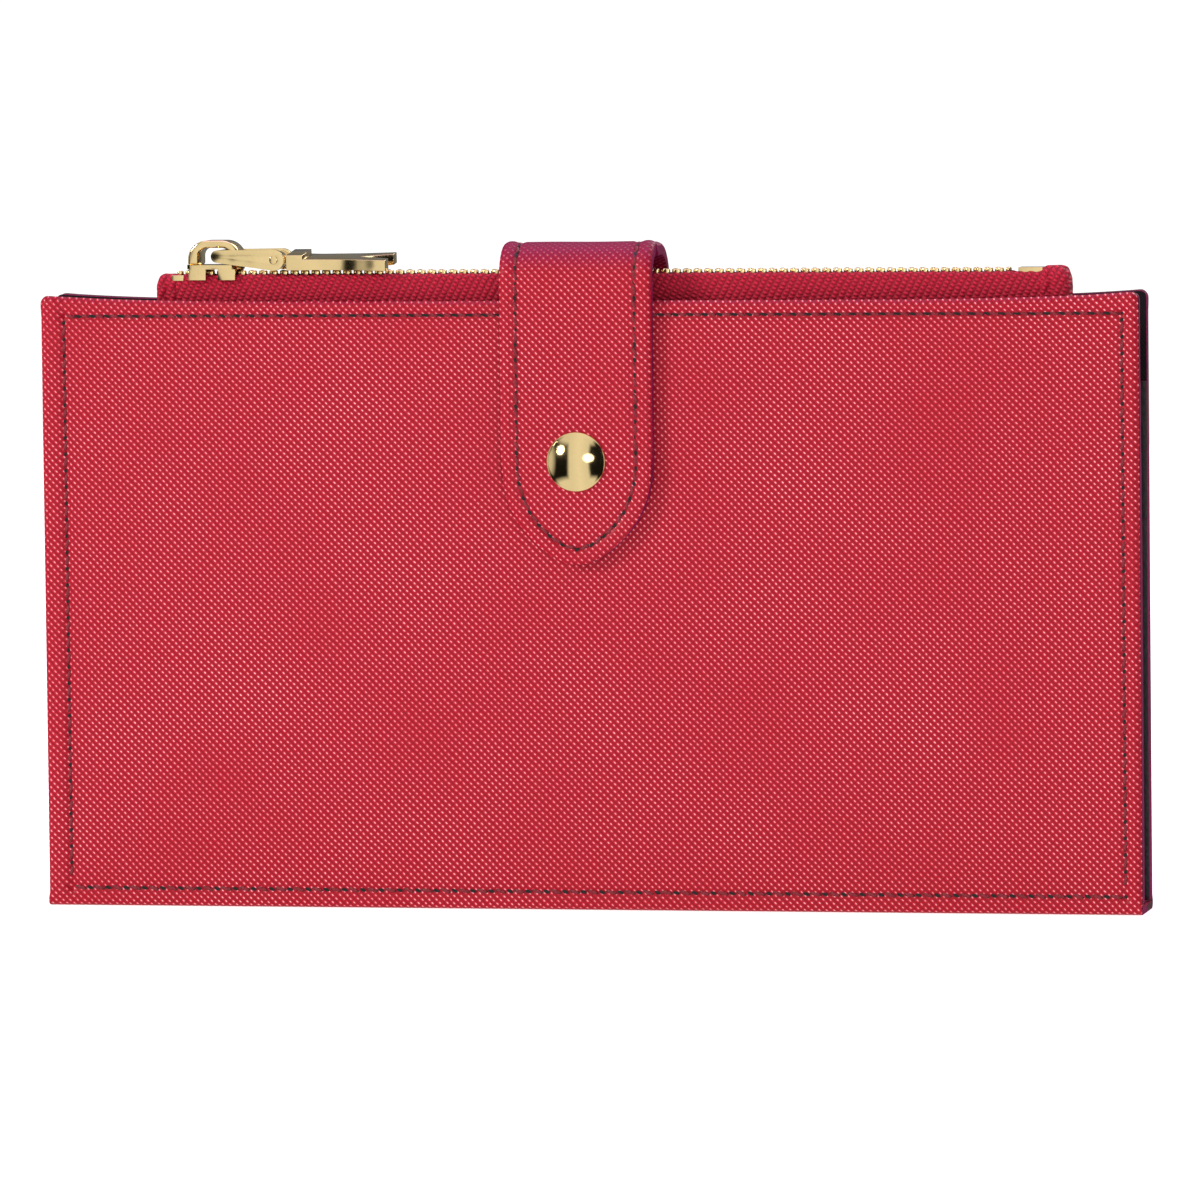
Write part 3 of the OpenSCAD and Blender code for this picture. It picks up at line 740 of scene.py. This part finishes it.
class Strap:
    """The tab's outer surface: up the rear leaf, over the zip and down the front leaf."""

    def __init__(self):
        self.middle = (FLAP_LOW.x + FLAP_HIGH.x) / 2
        self.half_w = (FLAP_HIGH.x - FLAP_LOW.x) / 2
        self.thickness = BASE_HIGH.y - BASE_LOW.y
        self.rear, self.front = BASE_HIGH.y, FLAP_LOW.y
        self.low, self.tip = BASE_LOW.z, FLAP_LOW.z
        self.tip_l = 18.5
        rear_r, front_r = 8.0, 6.4
        top = ARCH_TOP
        start, finish = (self.rear - rear_r, top - 0.4), (self.front + front_r, top)
        rise = top - 0.4 - rear_r - self.low
        drop = top - front_r - self.tip
        # straight and round lengths: (length, point at its start, heading there, radius)
        self.spans = (
            (rise, (self.rear, self.low), 90.0, 0.0),
            (rear_r * math.pi / 2, (self.rear, self.low + rise), 90.0, rear_r),
            (math.dist(start, finish), start, 180.0, 0.0),
            (front_r * math.pi / 2, finish, 180.0, front_r),
            (drop, (self.front, top - front_r), 270.0, 0.0),
        )
        self.length = sum(span[0] for span in self.spans)
        self.split = sum(span[0] for span in self.spans[:2]) + 3.5
        self.seam = None

    def profile(self, run):
        """(y, z) on the outer surface and the outward normal there, run mm from the base."""
        run = min(max(run, 0.0), self.length)
        for span in self.spans:
            length, (y, z), heading, radius = span
            if run <= length or span is self.spans[-1]:
                break
            run -= length
        angle = math.radians(heading)
        if radius:
            bend = run / radius
            cy, cz = y - radius * math.sin(angle), z + radius * math.cos(angle)
            out = angle - math.pi / 2 + bend
            point = (cy + radius * math.cos(out), cz + radius * math.sin(out))
            return point, (math.cos(out), math.sin(out))
        point = (y + run * math.cos(angle), z + run * math.sin(angle))
        return point, (math.sin(angle), -math.cos(angle))

    def point(self, x, run, sizes):
        """The place of a flat point on the outer face."""
        (y, z), (ny, nz) = self.profile(run)
        out = self.relief(x, run, sizes)
        return Vector((self.middle + x, y + ny * out, z + nz * out))

    def taper(self, s):
        """The tip's half width from its start (s = 0, 1) to its point (s = 1, 0)."""
        return math.sqrt(1 - s * s) * (1 - 0.22 * s**4)

    def half_width(self, run, inset):
        """Half the strap's width, inset mm inside its outline, run mm from the base."""
        left = self.length - inset - run
        reach = self.tip_l - inset
        if left >= reach:
            return self.half_w - inset
        return (self.half_w - inset) * self.taper(min(1.0, 1 - max(0.0, left) / reach))

    def end(self, x):
        """Run from the base to the outline of the tip at x."""
        share = min(1.0, abs(x) / self.half_w)
        low, high = 0.0, 1.0
        for _ in range(30):
            s = (low + high) / 2
            if self.taper(s) > share:
                low = s
            else:
                high = s
        return self.length - self.tip_l * (1 - low)

    def outline(self, inset, start, finish):
        """Right side of the outline, from start to finish, as flat points."""
        taper = self.length - self.tip_l
        points = [(self.half_width(r, inset), r) for r in stations((start, taper, 120))]
        steps = 60
        for i in range(1, steps + 1):
            s = math.sin(math.pi / 2 * i / steps)
            run = taper + (self.tip_l - inset) * s
            if run <= finish:
                points.append((self.half_width(run, inset), run))
        return points

    def seam_line(self, sizes):
        """The right side of the sewn line and the line across the foot."""
        inset = sizes.tab_seam
        foot = [(i * 0.5, inset) for i in range(int((self.half_w - inset) / 0.5) + 1)]
        return foot + self.outline(inset, inset, self.length)

    def relief(self, x, run, sizes):
        """How far the leather stands out at a flat point."""
        if self.seam is None:
            self.seam = self.seam_line(sizes)
        edge = min(self.half_w - abs(x), run)
        if run > self.length - self.tip_l - 4:
            edge = min(math.dist((abs(x), run), p) for p in self.rim)
        near = min((math.dist((abs(x), run), p) for p in self.seam if abs(p[1] - run) < 3),
                   default=9.0)
        out = -sizes.groove * math.exp(-((near / GROOVE_W) ** 2))
        if edge < sizes.edge_roll:
            out -= 0.6 * (1 - math.sqrt(max(0.0, 1 - (1 - edge / sizes.edge_roll) ** 2)))
        if edge < sizes.tab_seam:
            out += 0.15 * math.sin(math.pi * edge / sizes.tab_seam)
        return out + 0.1 * noise.noise(Vector((x / 9, run / 11, 1.3)))


def strap_piece(name, strap, start, finish, sizes):
    """A length of the tab between two runs from its base. Its columns run along the strap and
    end on the tip's outline."""
    taper = strap.length - strap.tip_l
    tip = finish > taper
    rows = stations((0, 1, max(8, int((finish - start) / 0.9))))
    if tip:
        rows = stations((0, 0.94, 80), (0.94, 1, 10))
    columns = [-math.sin(math.pi / 2 * (-1 + 2 * i / 36)) for i in range(37)]
    strap.rim = strap.outline(0.0, taper - 8, strap.length + 1)

    def flat(t, share):
        x = t * strap.half_w
        return x, start + ((strap.end(x) if tip else finish) - start) * share

    seats = []

    def place(t, share):
        x, run = flat(t, share)
        seats.append((x, run))
        (y, z), _ = strap.profile(run)
        return strap.middle + x, y, z

    piece = sheet_of(name, columns, rows, place)
    cut = piece.data.uv_layers[CUT]
    for loop in piece.data.loops:
        t, share = cut.data[loop.index].uv / MM
        x, run = flat(t, share)
        cut.data[loop.index].uv = (-x * MM, run * MM)
    coat(piece, material("saffiano"), material("edge"), material("underside"))
    thicken(piece, strap.thickness, even=False)
    # This float attribute is 0 where the leather hangs and 1 on top of the bend, where the
    # material paints the top lamp's violet light.
    top_light_tint = piece.data.attributes.new("top_light_tint", "FLOAT", "POINT")
    for vertex in piece.data.vertices:
        upward = strap.profile(seats[vertex.index % len(seats)][1])[1][1]
        top_light_tint.data[vertex.index].value = 1.25 * max(0.0, upward - 0.2)
    # Solidify keeps the sheet's own points first: only they, the outer face, take the relief.
    for vertex, (x, run) in zip(piece.data.vertices, seats):
        vertex.co = strap.point(x, run, sizes) * MM
    return piece


# --- operators ---


class WALLET_OT_stage(bpy.types.Operator):
    """Add the paper floor, the soft lights and the camera"""

    bl_idname = "wallet.stage"
    bl_label = "Stage"

    def execute(self, context):
        deselect()
        bpy.ops.mesh.primitive_plane_add(size=3, location=(0, 0, -0.00004))
        bpy.ops.object.transform_apply(location=True)
        floor = bpy.context.object
        floor.name = "paper_floor"
        floor.visible_glossy = False
        floor.data.materials.append(material("paper"))

        # name: (place, aim, width, height, power, colour)
        lamps = {
            "key_softbox": ((-1.2, -1.0, 0.75), (0, 0, 0.06), 0.5, 0.5, 16.0, (1, 0.97, 0.93)),
            "fill_softbox": ((0.7, -1.5, 0.3), (0, 0, 0.06), 0.8, 0.6, 3.5, (1, 0.96, 0.97)),
            "top_softbox": ((0.0, 0.25, 1.2), (0, 0, 0.08), 1.2, 0.5, 4.5, (0.62, 0.3, 1)),
            "rear_softbox": ((0.6, 1.3, 0.9), (0, 0, 0.05), 1.0, 0.7, 7.0, (1, 1, 1)),
        }
        for name, (place, aim, width, height, power, tone) in lamps.items():
            lamp = bpy.data.lights.new(name, "AREA")
            lamp.shape, lamp.size, lamp.size_y = "ELLIPSE", width, height
            lamp.energy, lamp.color = power, tone
            holder = bpy.data.objects.new(name, lamp)
            context.collection.objects.link(holder)
            holder.location = place
            way = Vector(aim) - Vector(place)
            holder.rotation_euler = way.to_track_quat("-Z", "Y").to_euler()

        # White to the camera. To everything else it is a light tent with dark flags at both
        # sides, so that plated parts have dark bands between bright ones.
        world = bpy.data.worlds.new("studio")
        world.use_nodes = True
        world.node_tree.nodes.clear()
        add = functools.partial(add_node, world.node_tree)
        way = add("TexCoord", out="Generated")
        split = [add("SeparateXYZ", {0: way}, out=axis) for axis in range(3)]
        sideways = add("Math", {0: split[0]}, operation="ABSOLUTE")
        tent = add("ValToRGB", {"Fac": sideways})
        ramp = tent.node.color_ramp
        bands = ((0.0, 1.1), (0.38, 0.95), (0.48, 0.01), (0.85, 0.01), (0.95, 0.8))
        while len(ramp.elements) < len(bands):
            ramp.elements.new(0.5)
        for element, (position, level) in zip(ramp.elements, bands):
            element.position, element.color = position, (level, level, level, 1)
        behind = add("MapRange",
                     {"Value": split[1], "From Min": 0.3, "From Max": 0.8, "To Min": 1.0,
                      "To Max": 0.2})
        tent = add("Math", {0: tent, 1: behind}, operation="MULTIPLY")
        # Bright ceiling and floor: direction's start and end height, and level.
        for low, high, level in ((0.55, 0.7, 0.9), (-0.55, -0.7, 1.0)):
            lit = add("MapRange",
                      {"Value": split[2], "From Min": low, "From Max": high, "To Max": level})
            tent = add("Math", {0: tent, 1: lit}, operation="MAXIMUM")
        dim = add("Background", {"Color": tent, "Strength": 0.9})
        white = add("Background", {"Color": (1, 1, 1, 1), "Strength": 1.1})
        seen = add("LightPath", out="Is Camera Ray")
        mixed = add("MixShader", {0: seen, 1: dim, 2: white})
        add("OutputWorld", {0: mixed})
        context.scene.world = world
        context.scene.view_settings.view_transform = "Standard"

        azimuth, elevation, distance = math.radians(11.419), math.radians(4.0), 1.62085
        back = Vector((
            math.sin(azimuth) * math.cos(elevation),
            -math.cos(azimuth) * math.cos(elevation),
            math.sin(elevation),
        ))
        lens = bpy.data.cameras.new("camera")
        lens.sensor_width, lens.lens = 36.0, 277.5
        camera = bpy.data.objects.new("camera", lens)
        context.collection.objects.link(camera)
        aim = Vector((0.001162, 0.0, 0.05393))
        camera.location = aim + back * distance
        level = (-back).to_track_quat("-Z", "Y").to_matrix()
        roll = Matrix.Rotation(math.radians(-0.63), 3, "Z")
        camera.rotation_euler = (level @ roll).to_euler()
        context.scene.camera = camera
        return {"FINISHED"}


class WALLET_OT_leaves(bpy.types.Operator):
    """Add the outer leather of both leaves, which folds round the spine"""

    bl_idname = "wallet.leaves"
    bl_label = "Outer leather"

    def execute(self, context):
        sizes = context.scene.wallet_sizes
        for side, leaf in ((-1, "front"), (1, "rear")):
            skin = leaf_skin(f"{leaf}_leather", side, sizes)
            dress(skin, [f"{leaf}_cover", "spine_leather"])
            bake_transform(skin)
        return {"FINISHED"}


class WALLET_OT_leaf_insides(bpy.types.Operator):
    """Add each leaf's stiffened inner wall and its card slots"""

    bl_idname = "wallet.leaf_insides"
    bl_label = "Card slots"

    def execute(self, context):
        sizes = context.scene.wallet_sizes
        for side, leaf in ((-1, "front"), (1, "rear")):
            body = f"{leaf}_leaf"
            wall = self.inner_wall(f"{leaf}_inner_wall", side, sizes)
            dress(wall, [f"{leaf}_board", f"{leaf}_lining"])
            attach(wall, body)
            for level in ("high", "middle", "low"):
                node = f"{leaf}_card_panel_{level}"
                panel = self.card_panel(f"{leaf}_card_slot_{level}", node, side)
                dress(panel, [node])
                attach(panel, body)
            low, high = box(f"{leaf}_card_panel_low")
            face = low.y if side > 0 else high.y

            def find(x, z, face=face, side=side):
                return Vector((x, face, z)), Vector((0, -side, 0))

            seam = sew(f"{leaf}_slot_seam", [([(0, 5), (0, high.z - 4)], 2.8, 0.7)], find, 0)
            dress(seam)
            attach(seam, body)
        return {"FINISHED"}

    def inner_wall(self, name, side, sizes):
        """Board and lining in one: its face towards the pocket is lined, its edges painted."""
        across = stations((-HALF_L, -HALF_L + 1.5, 5), (-HALF_L + 1.5, HALF_L - 1.5, 60),
                          (HALF_L - 1.5, HALF_L, 5))
        if side < 0:
            across.reverse()
        along = stations((1.7, LEAF_TOP - 2, 40), (LEAF_TOP - 2, LEAF_TOP - 0.12, 6))

        def place(x, z):
            z -= (LEAF_TOP - top_edge(x, sizes)) * (z / LEAF_TOP) ** 2
            soft = 0.03 * noise.noise(Vector((x / 20, z / 20, 8.1)))
            x, z = rounded_corner(x, z, sizes)
            return x, side * (LINING_IN + soft), z

        wall = sheet_of(name, across, along, place)
        coat(wall, material("lining"), material("edge"))
        return thicken(wall, HALF_T - COVER_T - LINING_IN, bevel=0.2)

    def card_panel(self, name, node, side):
        """A card slot's panel, with a thumb notch over each of its two columns."""
        low, high = box(node)
        face = low.y if side > 0 else high.y
        across = stations((-HALF_L, -HALF_L + 3.5, 4), (-HALF_L + 3.5, HALF_L - 3.5, 150),
                          (HALF_L - 3.5, HALF_L, 4))
        if side < 0:
            across.reverse()
        along = stations((1.9, high.z - 8, 24), (high.z - 8, high.z, 12))
        notch_r, notch_depth = 22.0, 4.0

        def place(x, z):
            off = min(abs(x - HALF_L / 2), abs(x + HALF_L / 2))
            dip = max(0.0, notch_depth - (notch_r - math.sqrt(max(0.0, notch_r**2 - off**2))))
            if off > notch_r:
                dip = 0.0
            share = max(0.0, (z - high.z + 30) / 30)
            z -= dip * share * share
            seam = 0.12 * math.exp(-((x / 0.8) ** 2))
            return x, face + side * seam, z

        panel = sheet_of(name, across, along, place)
        coat(panel, material("panel"), material("edge"))
        return thicken(panel, PANEL_T, bevel=0.08)


class WALLET_OT_pocket(bpy.types.Operator):
    """Add the coin pocket's walls and pleated ends, and line its floor"""

    bl_idname = "wallet.pocket"
    bl_label = "Coin pocket"

    def execute(self, context):
        wall_t = POCKET_HIGH.y - POCKET_LOW.y
        hem_groove = 0.14
        pleat_half, pleat_depth = 2.4, 3.2
        for side, name in ((-1, "front"), (1, "rear")):
            across = stations((POCKET_LOW.x, POCKET_HIGH.x, 90))
            if side > 0:
                across.reverse()
            along = stations((POCKET_LOW.z, 94, 40), (94, POCKET_HIGH.z, 16))

            def place(x, z, side=side):
                hem = hem_groove * math.exp(-(((z - HEM_Z) / 0.5) ** 2))
                edge = min(x - POCKET_LOW.x, POCKET_HIGH.x - x, POCKET_HIGH.z - z)
                roll = 0.25 * max(0.0, 1 - edge / 0.8) ** 2
                return x, side * (-POCKET_LOW.y - hem - roll), z

            wall = sheet_of(f"pocket_{name}", across, along, place)
            coat(wall, material("panel"), material("edge"))
            thicken(wall, wall_t - 0.25, bevel=0.08)
            dress(wall, [f"pocket_{name}_wall"])
            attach(wall, "spine_and_pocket")

            def find(x, z, side=side):
                face = side * (-POCKET_LOW.y - hem_groove)
                return Vector((x, face, z)), Vector((0, side, 0))

            hem_seam = sew(
                f"pocket_{name}_hem_seam",
                [([(POCKET_LOW.x + 2, HEM_Z), (POCKET_HIGH.x - 2, HEM_Z)], 2.8, 0.8)], find, 6,
            )
            dress(hem_seam)
            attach(hem_seam, "spine_and_pocket")
        for name, way in (("left", -1), ("right", 1)):
            low, high = box(f"pocket_gusset_{name}")
            outer = low.x if way < 0 else high.x
            across = stations((-pleat_half, pleat_half, 16))
            if way < 0:
                across.reverse()
            along = stations((low.z, high.z, 24))

            def pleat(y, z, way=way, outer=outer, top=high.z):
                fold = pleat_depth * (1 - abs(y) / pleat_half) ** 1.3
                return outer - way * fold * (0.35 + 0.65 * z / top), y, z

            end = sheet_of(f"pocket_pleat_{name}", across, along, pleat)
            coat(end, material("panel"), material("edge"))
            thicken(end, 0.4)
            dress(end, [f"pocket_gusset_{name}"], 60)
            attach(end, "spine_and_pocket")
        strip = sheet_of(
            "spine_inner_strip", stations((-HALF_L + 0.6, HALF_L - 0.6, 80)),
            stations((-5.4, 5.4, 12)),
            lambda x, y: (x, y, 1.62 + 0.1 * math.cos(y * 0.5)
                          + 0.03 * noise.noise(Vector((x / 9, y, 0)))),
        )
        coat(strip, material("lining"), material("edge"))
        thicken(strip, 0.3)
        dress(strip, ["spine_lining"])
        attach(strip, "spine_and_pocket")
        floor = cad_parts["pocket_floor"]
        floor.data.materials.clear()
        floor.data.materials.append(material("lining"))
        return {"FINISHED"}


class WALLET_OT_zip(bpy.types.Operator):
    """Add the zip: its two woven tapes, its teeth, its stops and its folded ends"""

    bl_idname = "wallet.zip"
    bl_label = "Zip"

    def execute(self, context):
        for side, name in ((-1, "front"), (1, "rear")):
            self.tape(side, name)
            self.teeth(side, name)
        for node, piece_name in (("zip_top_stop", "top_stop"), ("zip_bottom_stop", "end_stop")):
            stop = from_cad(node, piece_name, 0.07)
            coat(stop, material("gold"))
            dress(stop, [node])
            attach(stop, "spine_and_pocket")
        self.folded_end("left", length=3.0, top=111.2)
        self.folded_end("right", length=4.4, top=112.0)
        return {"FINISHED"}

    def tape(self, side, name):
        """One tape: it rises from the pocket, bulges a little and turns in under the teeth."""
        y0 = -TAPE_LOW.y
        top = TAPE_HIGH.z - 0.4
        r = 0.75
        straight = top - r - TAPE_LOW.z
        across = stations((TAPE_LOW.x, TAPE_HIGH.x, 480))
        if side > 0:
            across.reverse()
        along = stations((0, 9, 6), (9, straight, 14), (straight, straight + r * math.pi / 2, 5))

        def place(x, run):
            rise = min(run, straight)
            y, z = y0, TAPE_LOW.z + rise
            above = z - LEAF_TOP
            if above > -4:
                y += 0.22 * math.sin(math.pi * min(1.0, max(0.0, (above + 4) / 6.5)))
            if run > straight:
                bend = (run - straight) / r
                y -= r - r * math.cos(bend)
                z += r * math.sin(bend)
                tooth = 2 * math.pi * (x - TEETH_START) / TOOTH_PITCH
                z += 0.1 * math.sin(bend) * math.cos(tooth)
            z += 0.05 * noise.noise(Vector((x / 6, run / 3, side)))
            return x, side * y, z

        tape = sheet_of(f"{name}_tape", across, along, place)
        coat(tape, material("tape"))
        thicken(tape, 0.42, rim=0)
        dress(tape, [f"zip_tape_{name}"])
        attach(tape, "spine_and_pocket")

    def teeth(self, side, name):
        """A row of teeth, each a clamp round the tape's edge with a rounded head."""
        deselect()
        bpy.ops.mesh.primitive_cube_add(size=1)
        tooth = bpy.context.object
        tooth.scale = (0.95 * MM, 2.0 * MM, 0.95 * MM)
        bpy.ops.object.transform_apply(scale=True)
        rounding = {"offset": 0.26 * MM, "segments": 2, "affect": "EDGES"}
        edit(tooth, (bpy.ops.mesh.bevel, rounding))
        for vertex in tooth.data.vertices:
            inner = vertex.co.y * -side / MM
            if inner > 0.5:
                vertex.co.x *= 0.72
                vertex.co.z *= 0.9
        low, high = box(f"zip_teeth_{name}")
        first = low.x + 0.4
        count = int((high.x - low.x) / TOOTH_PITCH) + 1
        level = high.z - 0.5
        middles = [first + i * TOOTH_PITCH for i in range(count)]
        places = [
            Matrix.Translation((x * MM, side * 0.82 * MM, level * MM))
            for x in middles if x < high.x - 0.2
        ]
        row = repeat(tooth, places, f"{name}_teeth")
        coat(row, material("teeth"))
        dress(row, [f"zip_teeth_{name}"])
        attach(row, "spine_and_pocket")

    def folded_end(self, name, length, top):
        """The tapes' end, folded over and sewn into a soft block."""
        low, high = box(f"tape_end_{name}")
        deselect()
        way = -1 if name == "left" else 1
        inner = (high.x if way < 0 else low.x) - way * 0.9
        outer = inner + way * (length + 0.9)
        bpy.ops.mesh.primitive_cube_add(size=1)
        block = bpy.context.object
        middle = ((inner + outer) / 2, 0, (low.z + top) / 2)
        block.scale = Vector((abs(outer - inner) * 1.08, 6.1, (top - low.z) * 1.06)) * MM
        block.location = Vector(middle) * MM
        bpy.ops.object.transform_apply(location=True, rotation=False, scale=True)
        edit(block, (bpy.ops.mesh.subdivide, {"number_cuts": 1}))
        modify(block, "SUBSURF", levels=3, render_levels=3)
        for vertex in block.data.vertices:
            x, y, z = vertex.co / MM
            ripple = 0.22 * noise.noise(Vector((x * 0.6, y * 0.6, z * 0.6)))
            tuck = 0.35 * math.exp(-(((x - inner) * way - 2.0) ** 2) / 0.2)
            share = (abs(y) / 2.7) ** 4
            vertex.co.y -= math.copysign(tuck * share, y) * MM
            vertex.co += Vector((ripple, ripple * 0.5, ripple)) * MM
        coat(block, material("tape_end"))
        block.name = block.data.name = f"folded_end_{name}"
        dress(block, [f"tape_end_{name}"], 80)
        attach(block, "spine_and_pocket")


class WALLET_OT_slider(bpy.types.Operator):
    """Add the zip's slider, its link with the pin, and the pull"""

    bl_idname = "wallet.slider"
    bl_label = "Slider and pull"

    def execute(self, context):
        parts = (
            ("slider_body", "slider_plate", "slider", 0.16),
            ("slider_crown", "slider_bridge", "slider", 0.4),
            ("connector_link", "forked_link", "link", 0.32),
            ("link_pin", "link_rivet", "link", 0.14),
            ("pull_plate", "zip_pull", "pull", 0.4),
        )
        for node, name, body, bevel in parts:
            piece = from_cad(node, name, bevel)
            coat(piece, material("cast_gold"))
            dress(piece, [node], 35)
            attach(piece, body)
        return {"FINISHED"}


class WALLET_OT_tab(bpy.types.Operator):
    """Add the snap tab in two lengths that meet on top of its arch, and its seam"""

    bl_idname = "wallet.tab"
    bl_label = "Snap tab"

    def execute(self, context):
        sizes = context.scene.wallet_sizes
        strap = Strap()
        inset = sizes.tab_seam

        def find(x, run):
            ny, nz = strap.profile(run)[1]
            return strap.point(x, run, sizes), Vector((0, ny, nz))

        # name: (ends of its run, CAD nodes, thread's CAD nodes, bodies, and its bend's Y and
        # the heights where that starts and ends)
        lengths = {
            "rear": ((0.0, strap.split), ["tab_base", "tab_arch"], ["tab_base_stitching"],
                     ("rear_leaf", "arch"), (strap.rear, 104.2, 109.0)),
            "front": ((strap.split, strap.length),
                      ["tab_flap", "tab_flap_lining", "tab_arch_lining"], ["tab_stitching"],
                      ("arch", "flap"), (strap.front, 113.2, 108.8)),
        }
        right = strap.outline(inset, inset, strap.length)
        for name, (ends, nodes, threads, bodies, (y, first, last)) in lengths.items():
            leather = strap_piece(f"tab_{name}_length", strap, *ends, sizes)
            dress(leather, nodes)
            part = [p for p in right if ends[0] <= p[1] <= ends[1] - 0.3]
            lines = [(part, 2.75, 0.95), ([(-x, run) for x, run in part], 2.75, 0.95)]
            if name == "rear":
                half = strap.half_w - inset
                lines.append(([(-half, inset), (half, inset)], 2.75, 1.1))
            seam = sew(f"tab_{name}_seam", lines, find, 14)
            dress(seam, threads)
            for piece in (leather, seam):
                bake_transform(piece)
        return {"FINISHED"}


class WALLET_OT_snap(bpy.types.Operator):
    """Add the snap's domed cap, its socket and its stud"""

    bl_idname = "wallet.snap"
    bl_label = "Snap"

    def execute(self, context):
        middle = (CAP_LOW + CAP_HIGH) / 2
        radius = (CAP_HIGH.x - CAP_LOW.x) / 2
        height = CAP_HIGH.y - CAP_LOW.y
        face = CAP_HIGH.y
        profile = [(radius * 0.9, -0.2), (radius * 0.985, -0.15), (radius, 0.1),
                   (radius * 0.99, 0.3), (radius * 0.955, 0.45), (radius * 0.92, 0.52)]
        bulge, foot = height - 0.52, radius * 0.92
        rim_angle = 2 * math.atan(bulge / foot)
        for i in range(1, 17):
            angle = rim_angle * (1 - i / 16)
            profile.append((foot * math.sin(angle) / math.sin(rim_angle),
                            height - foot * (1 - math.cos(angle)) / math.sin(rim_angle)))

        low, high = box("snap_socket")
        depth = high.y - low.y
        ring = [(1.95, 0.0), (1.95, depth * 0.8), (2.3, depth), (3.4, depth), (3.8, depth * 0.5),
                (3.9, 0.0), (3.7, -0.08), (2.5, -0.08), (2.2, 0.0), (1.95, 0.0)]
        socket_face = high.y
        low, high = box("snap_stud")
        reach = high.y - low.y
        post = [(3.95, 0.0), (3.9, 0.22), (3.5, 0.33), (1.9, 0.33), (1.45, 0.45),
                (1.4, reach * 0.6), (1.7, reach * 0.75), (1.75, reach * 0.88),
                (1.5, reach * 0.98), (0.7, reach), (0.0, reach)]
        for name, node, shape, level, steps, body in (
            ("snap_dome", "snap_cap", profile, face, 64, "flap"),
            ("snap_ring", "snap_socket", ring, socket_face, 48, "flap"),
            ("snap_post", "snap_stud", post, high.y, 48, "front_leaf"),
        ):
            piece = turned(name, shape, (middle.x, level, middle.z), steps)
            coat(piece, material("gold"))
            dress(piece, [node], 50)
            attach(piece, body)
        return {"FINISHED"}


class WALLET_OT_seams(bpy.types.Operator):
    """Sew both leaves' seams"""

    bl_idname = "wallet.seams"
    bl_label = "Leaf seams"

    def execute(self, context):
        s = context.scene.wallet_sizes
        left, right = -HALF_L + s.seam_left, HALF_L - s.seam_right
        upper, lower = LEAF_TOP - s.seam_top, s.seam_low
        for side, leaf in ((-1, "front"), (1, "rear")):
            spans = [(left, right)]
            if side > 0:
                spans = [(left, BASE_LOW.x - 1), (BASE_HIGH.x + 1, right)]
            lines = [([(a, upper), (b, upper)], 2.6, 1.35) for a, b in spans] + [
                ([(left, lower), (right, lower)], 3.3, 1.2),
                ([(left, lower + 1.5), (left, upper - 1.2)], 2.9, 0.8),
                ([(right, lower + 1.5), (right, upper - 1.2)], 2.9, 0.8),
            ]
            seam = sew(f"{leaf}_seam", lines, leaf_point(side, s), 18 * side)
            dress(seam, [f"{leaf}_stitching"])
            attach(seam, f"{leaf}_leaf")
        return {"FINISHED"}


class WALLET_PT_panel(bpy.types.Panel):
    """Buttons and values for the wallet"""

    bl_idname = "WALLET_PT_panel"
    bl_label = "Bifold wallet"
    bl_space_type = "VIEW_3D"
    bl_region_type = "UI"
    bl_category = "Wallet"

    def draw(self, context):
        for step in STEPS:
            self.layout.operator(step.bl_idname)
        for group in (context.scene.wallet_sizes, context.scene.wallet_colours):
            column = self.layout.column(align=True)
            for name in group.bl_rna.properties.keys():
                if name not in ("rna_type", "name"):
                    column.prop(group, name)


STEPS = (
    WALLET_OT_stage, WALLET_OT_leaves, WALLET_OT_leaf_insides, WALLET_OT_pocket, WALLET_OT_zip,
    WALLET_OT_slider, WALLET_OT_tab, WALLET_OT_snap, WALLET_OT_seams,
)


def register():
    for group in (WalletSizes, WalletColours, *STEPS, WALLET_PT_panel):
        bpy.utils.register_class(group)
    bpy.types.Scene.wallet_sizes = bpy.props.PointerProperty(type=WalletSizes)
    bpy.types.Scene.wallet_colours = bpy.props.PointerProperty(type=WalletColours)


def unregister():
    del bpy.types.Scene.wallet_sizes
    del bpy.types.Scene.wallet_colours
    for group in (WALLET_PT_panel, *reversed(STEPS), WalletColours, WalletSizes):
        bpy.utils.unregister_class(group)


def main():
    register()
    for step in STEPS:
        family, action = step.bl_idname.split(".")
        getattr(getattr(bpy.ops, family), action)()


if __name__ == "__main__":
    main()
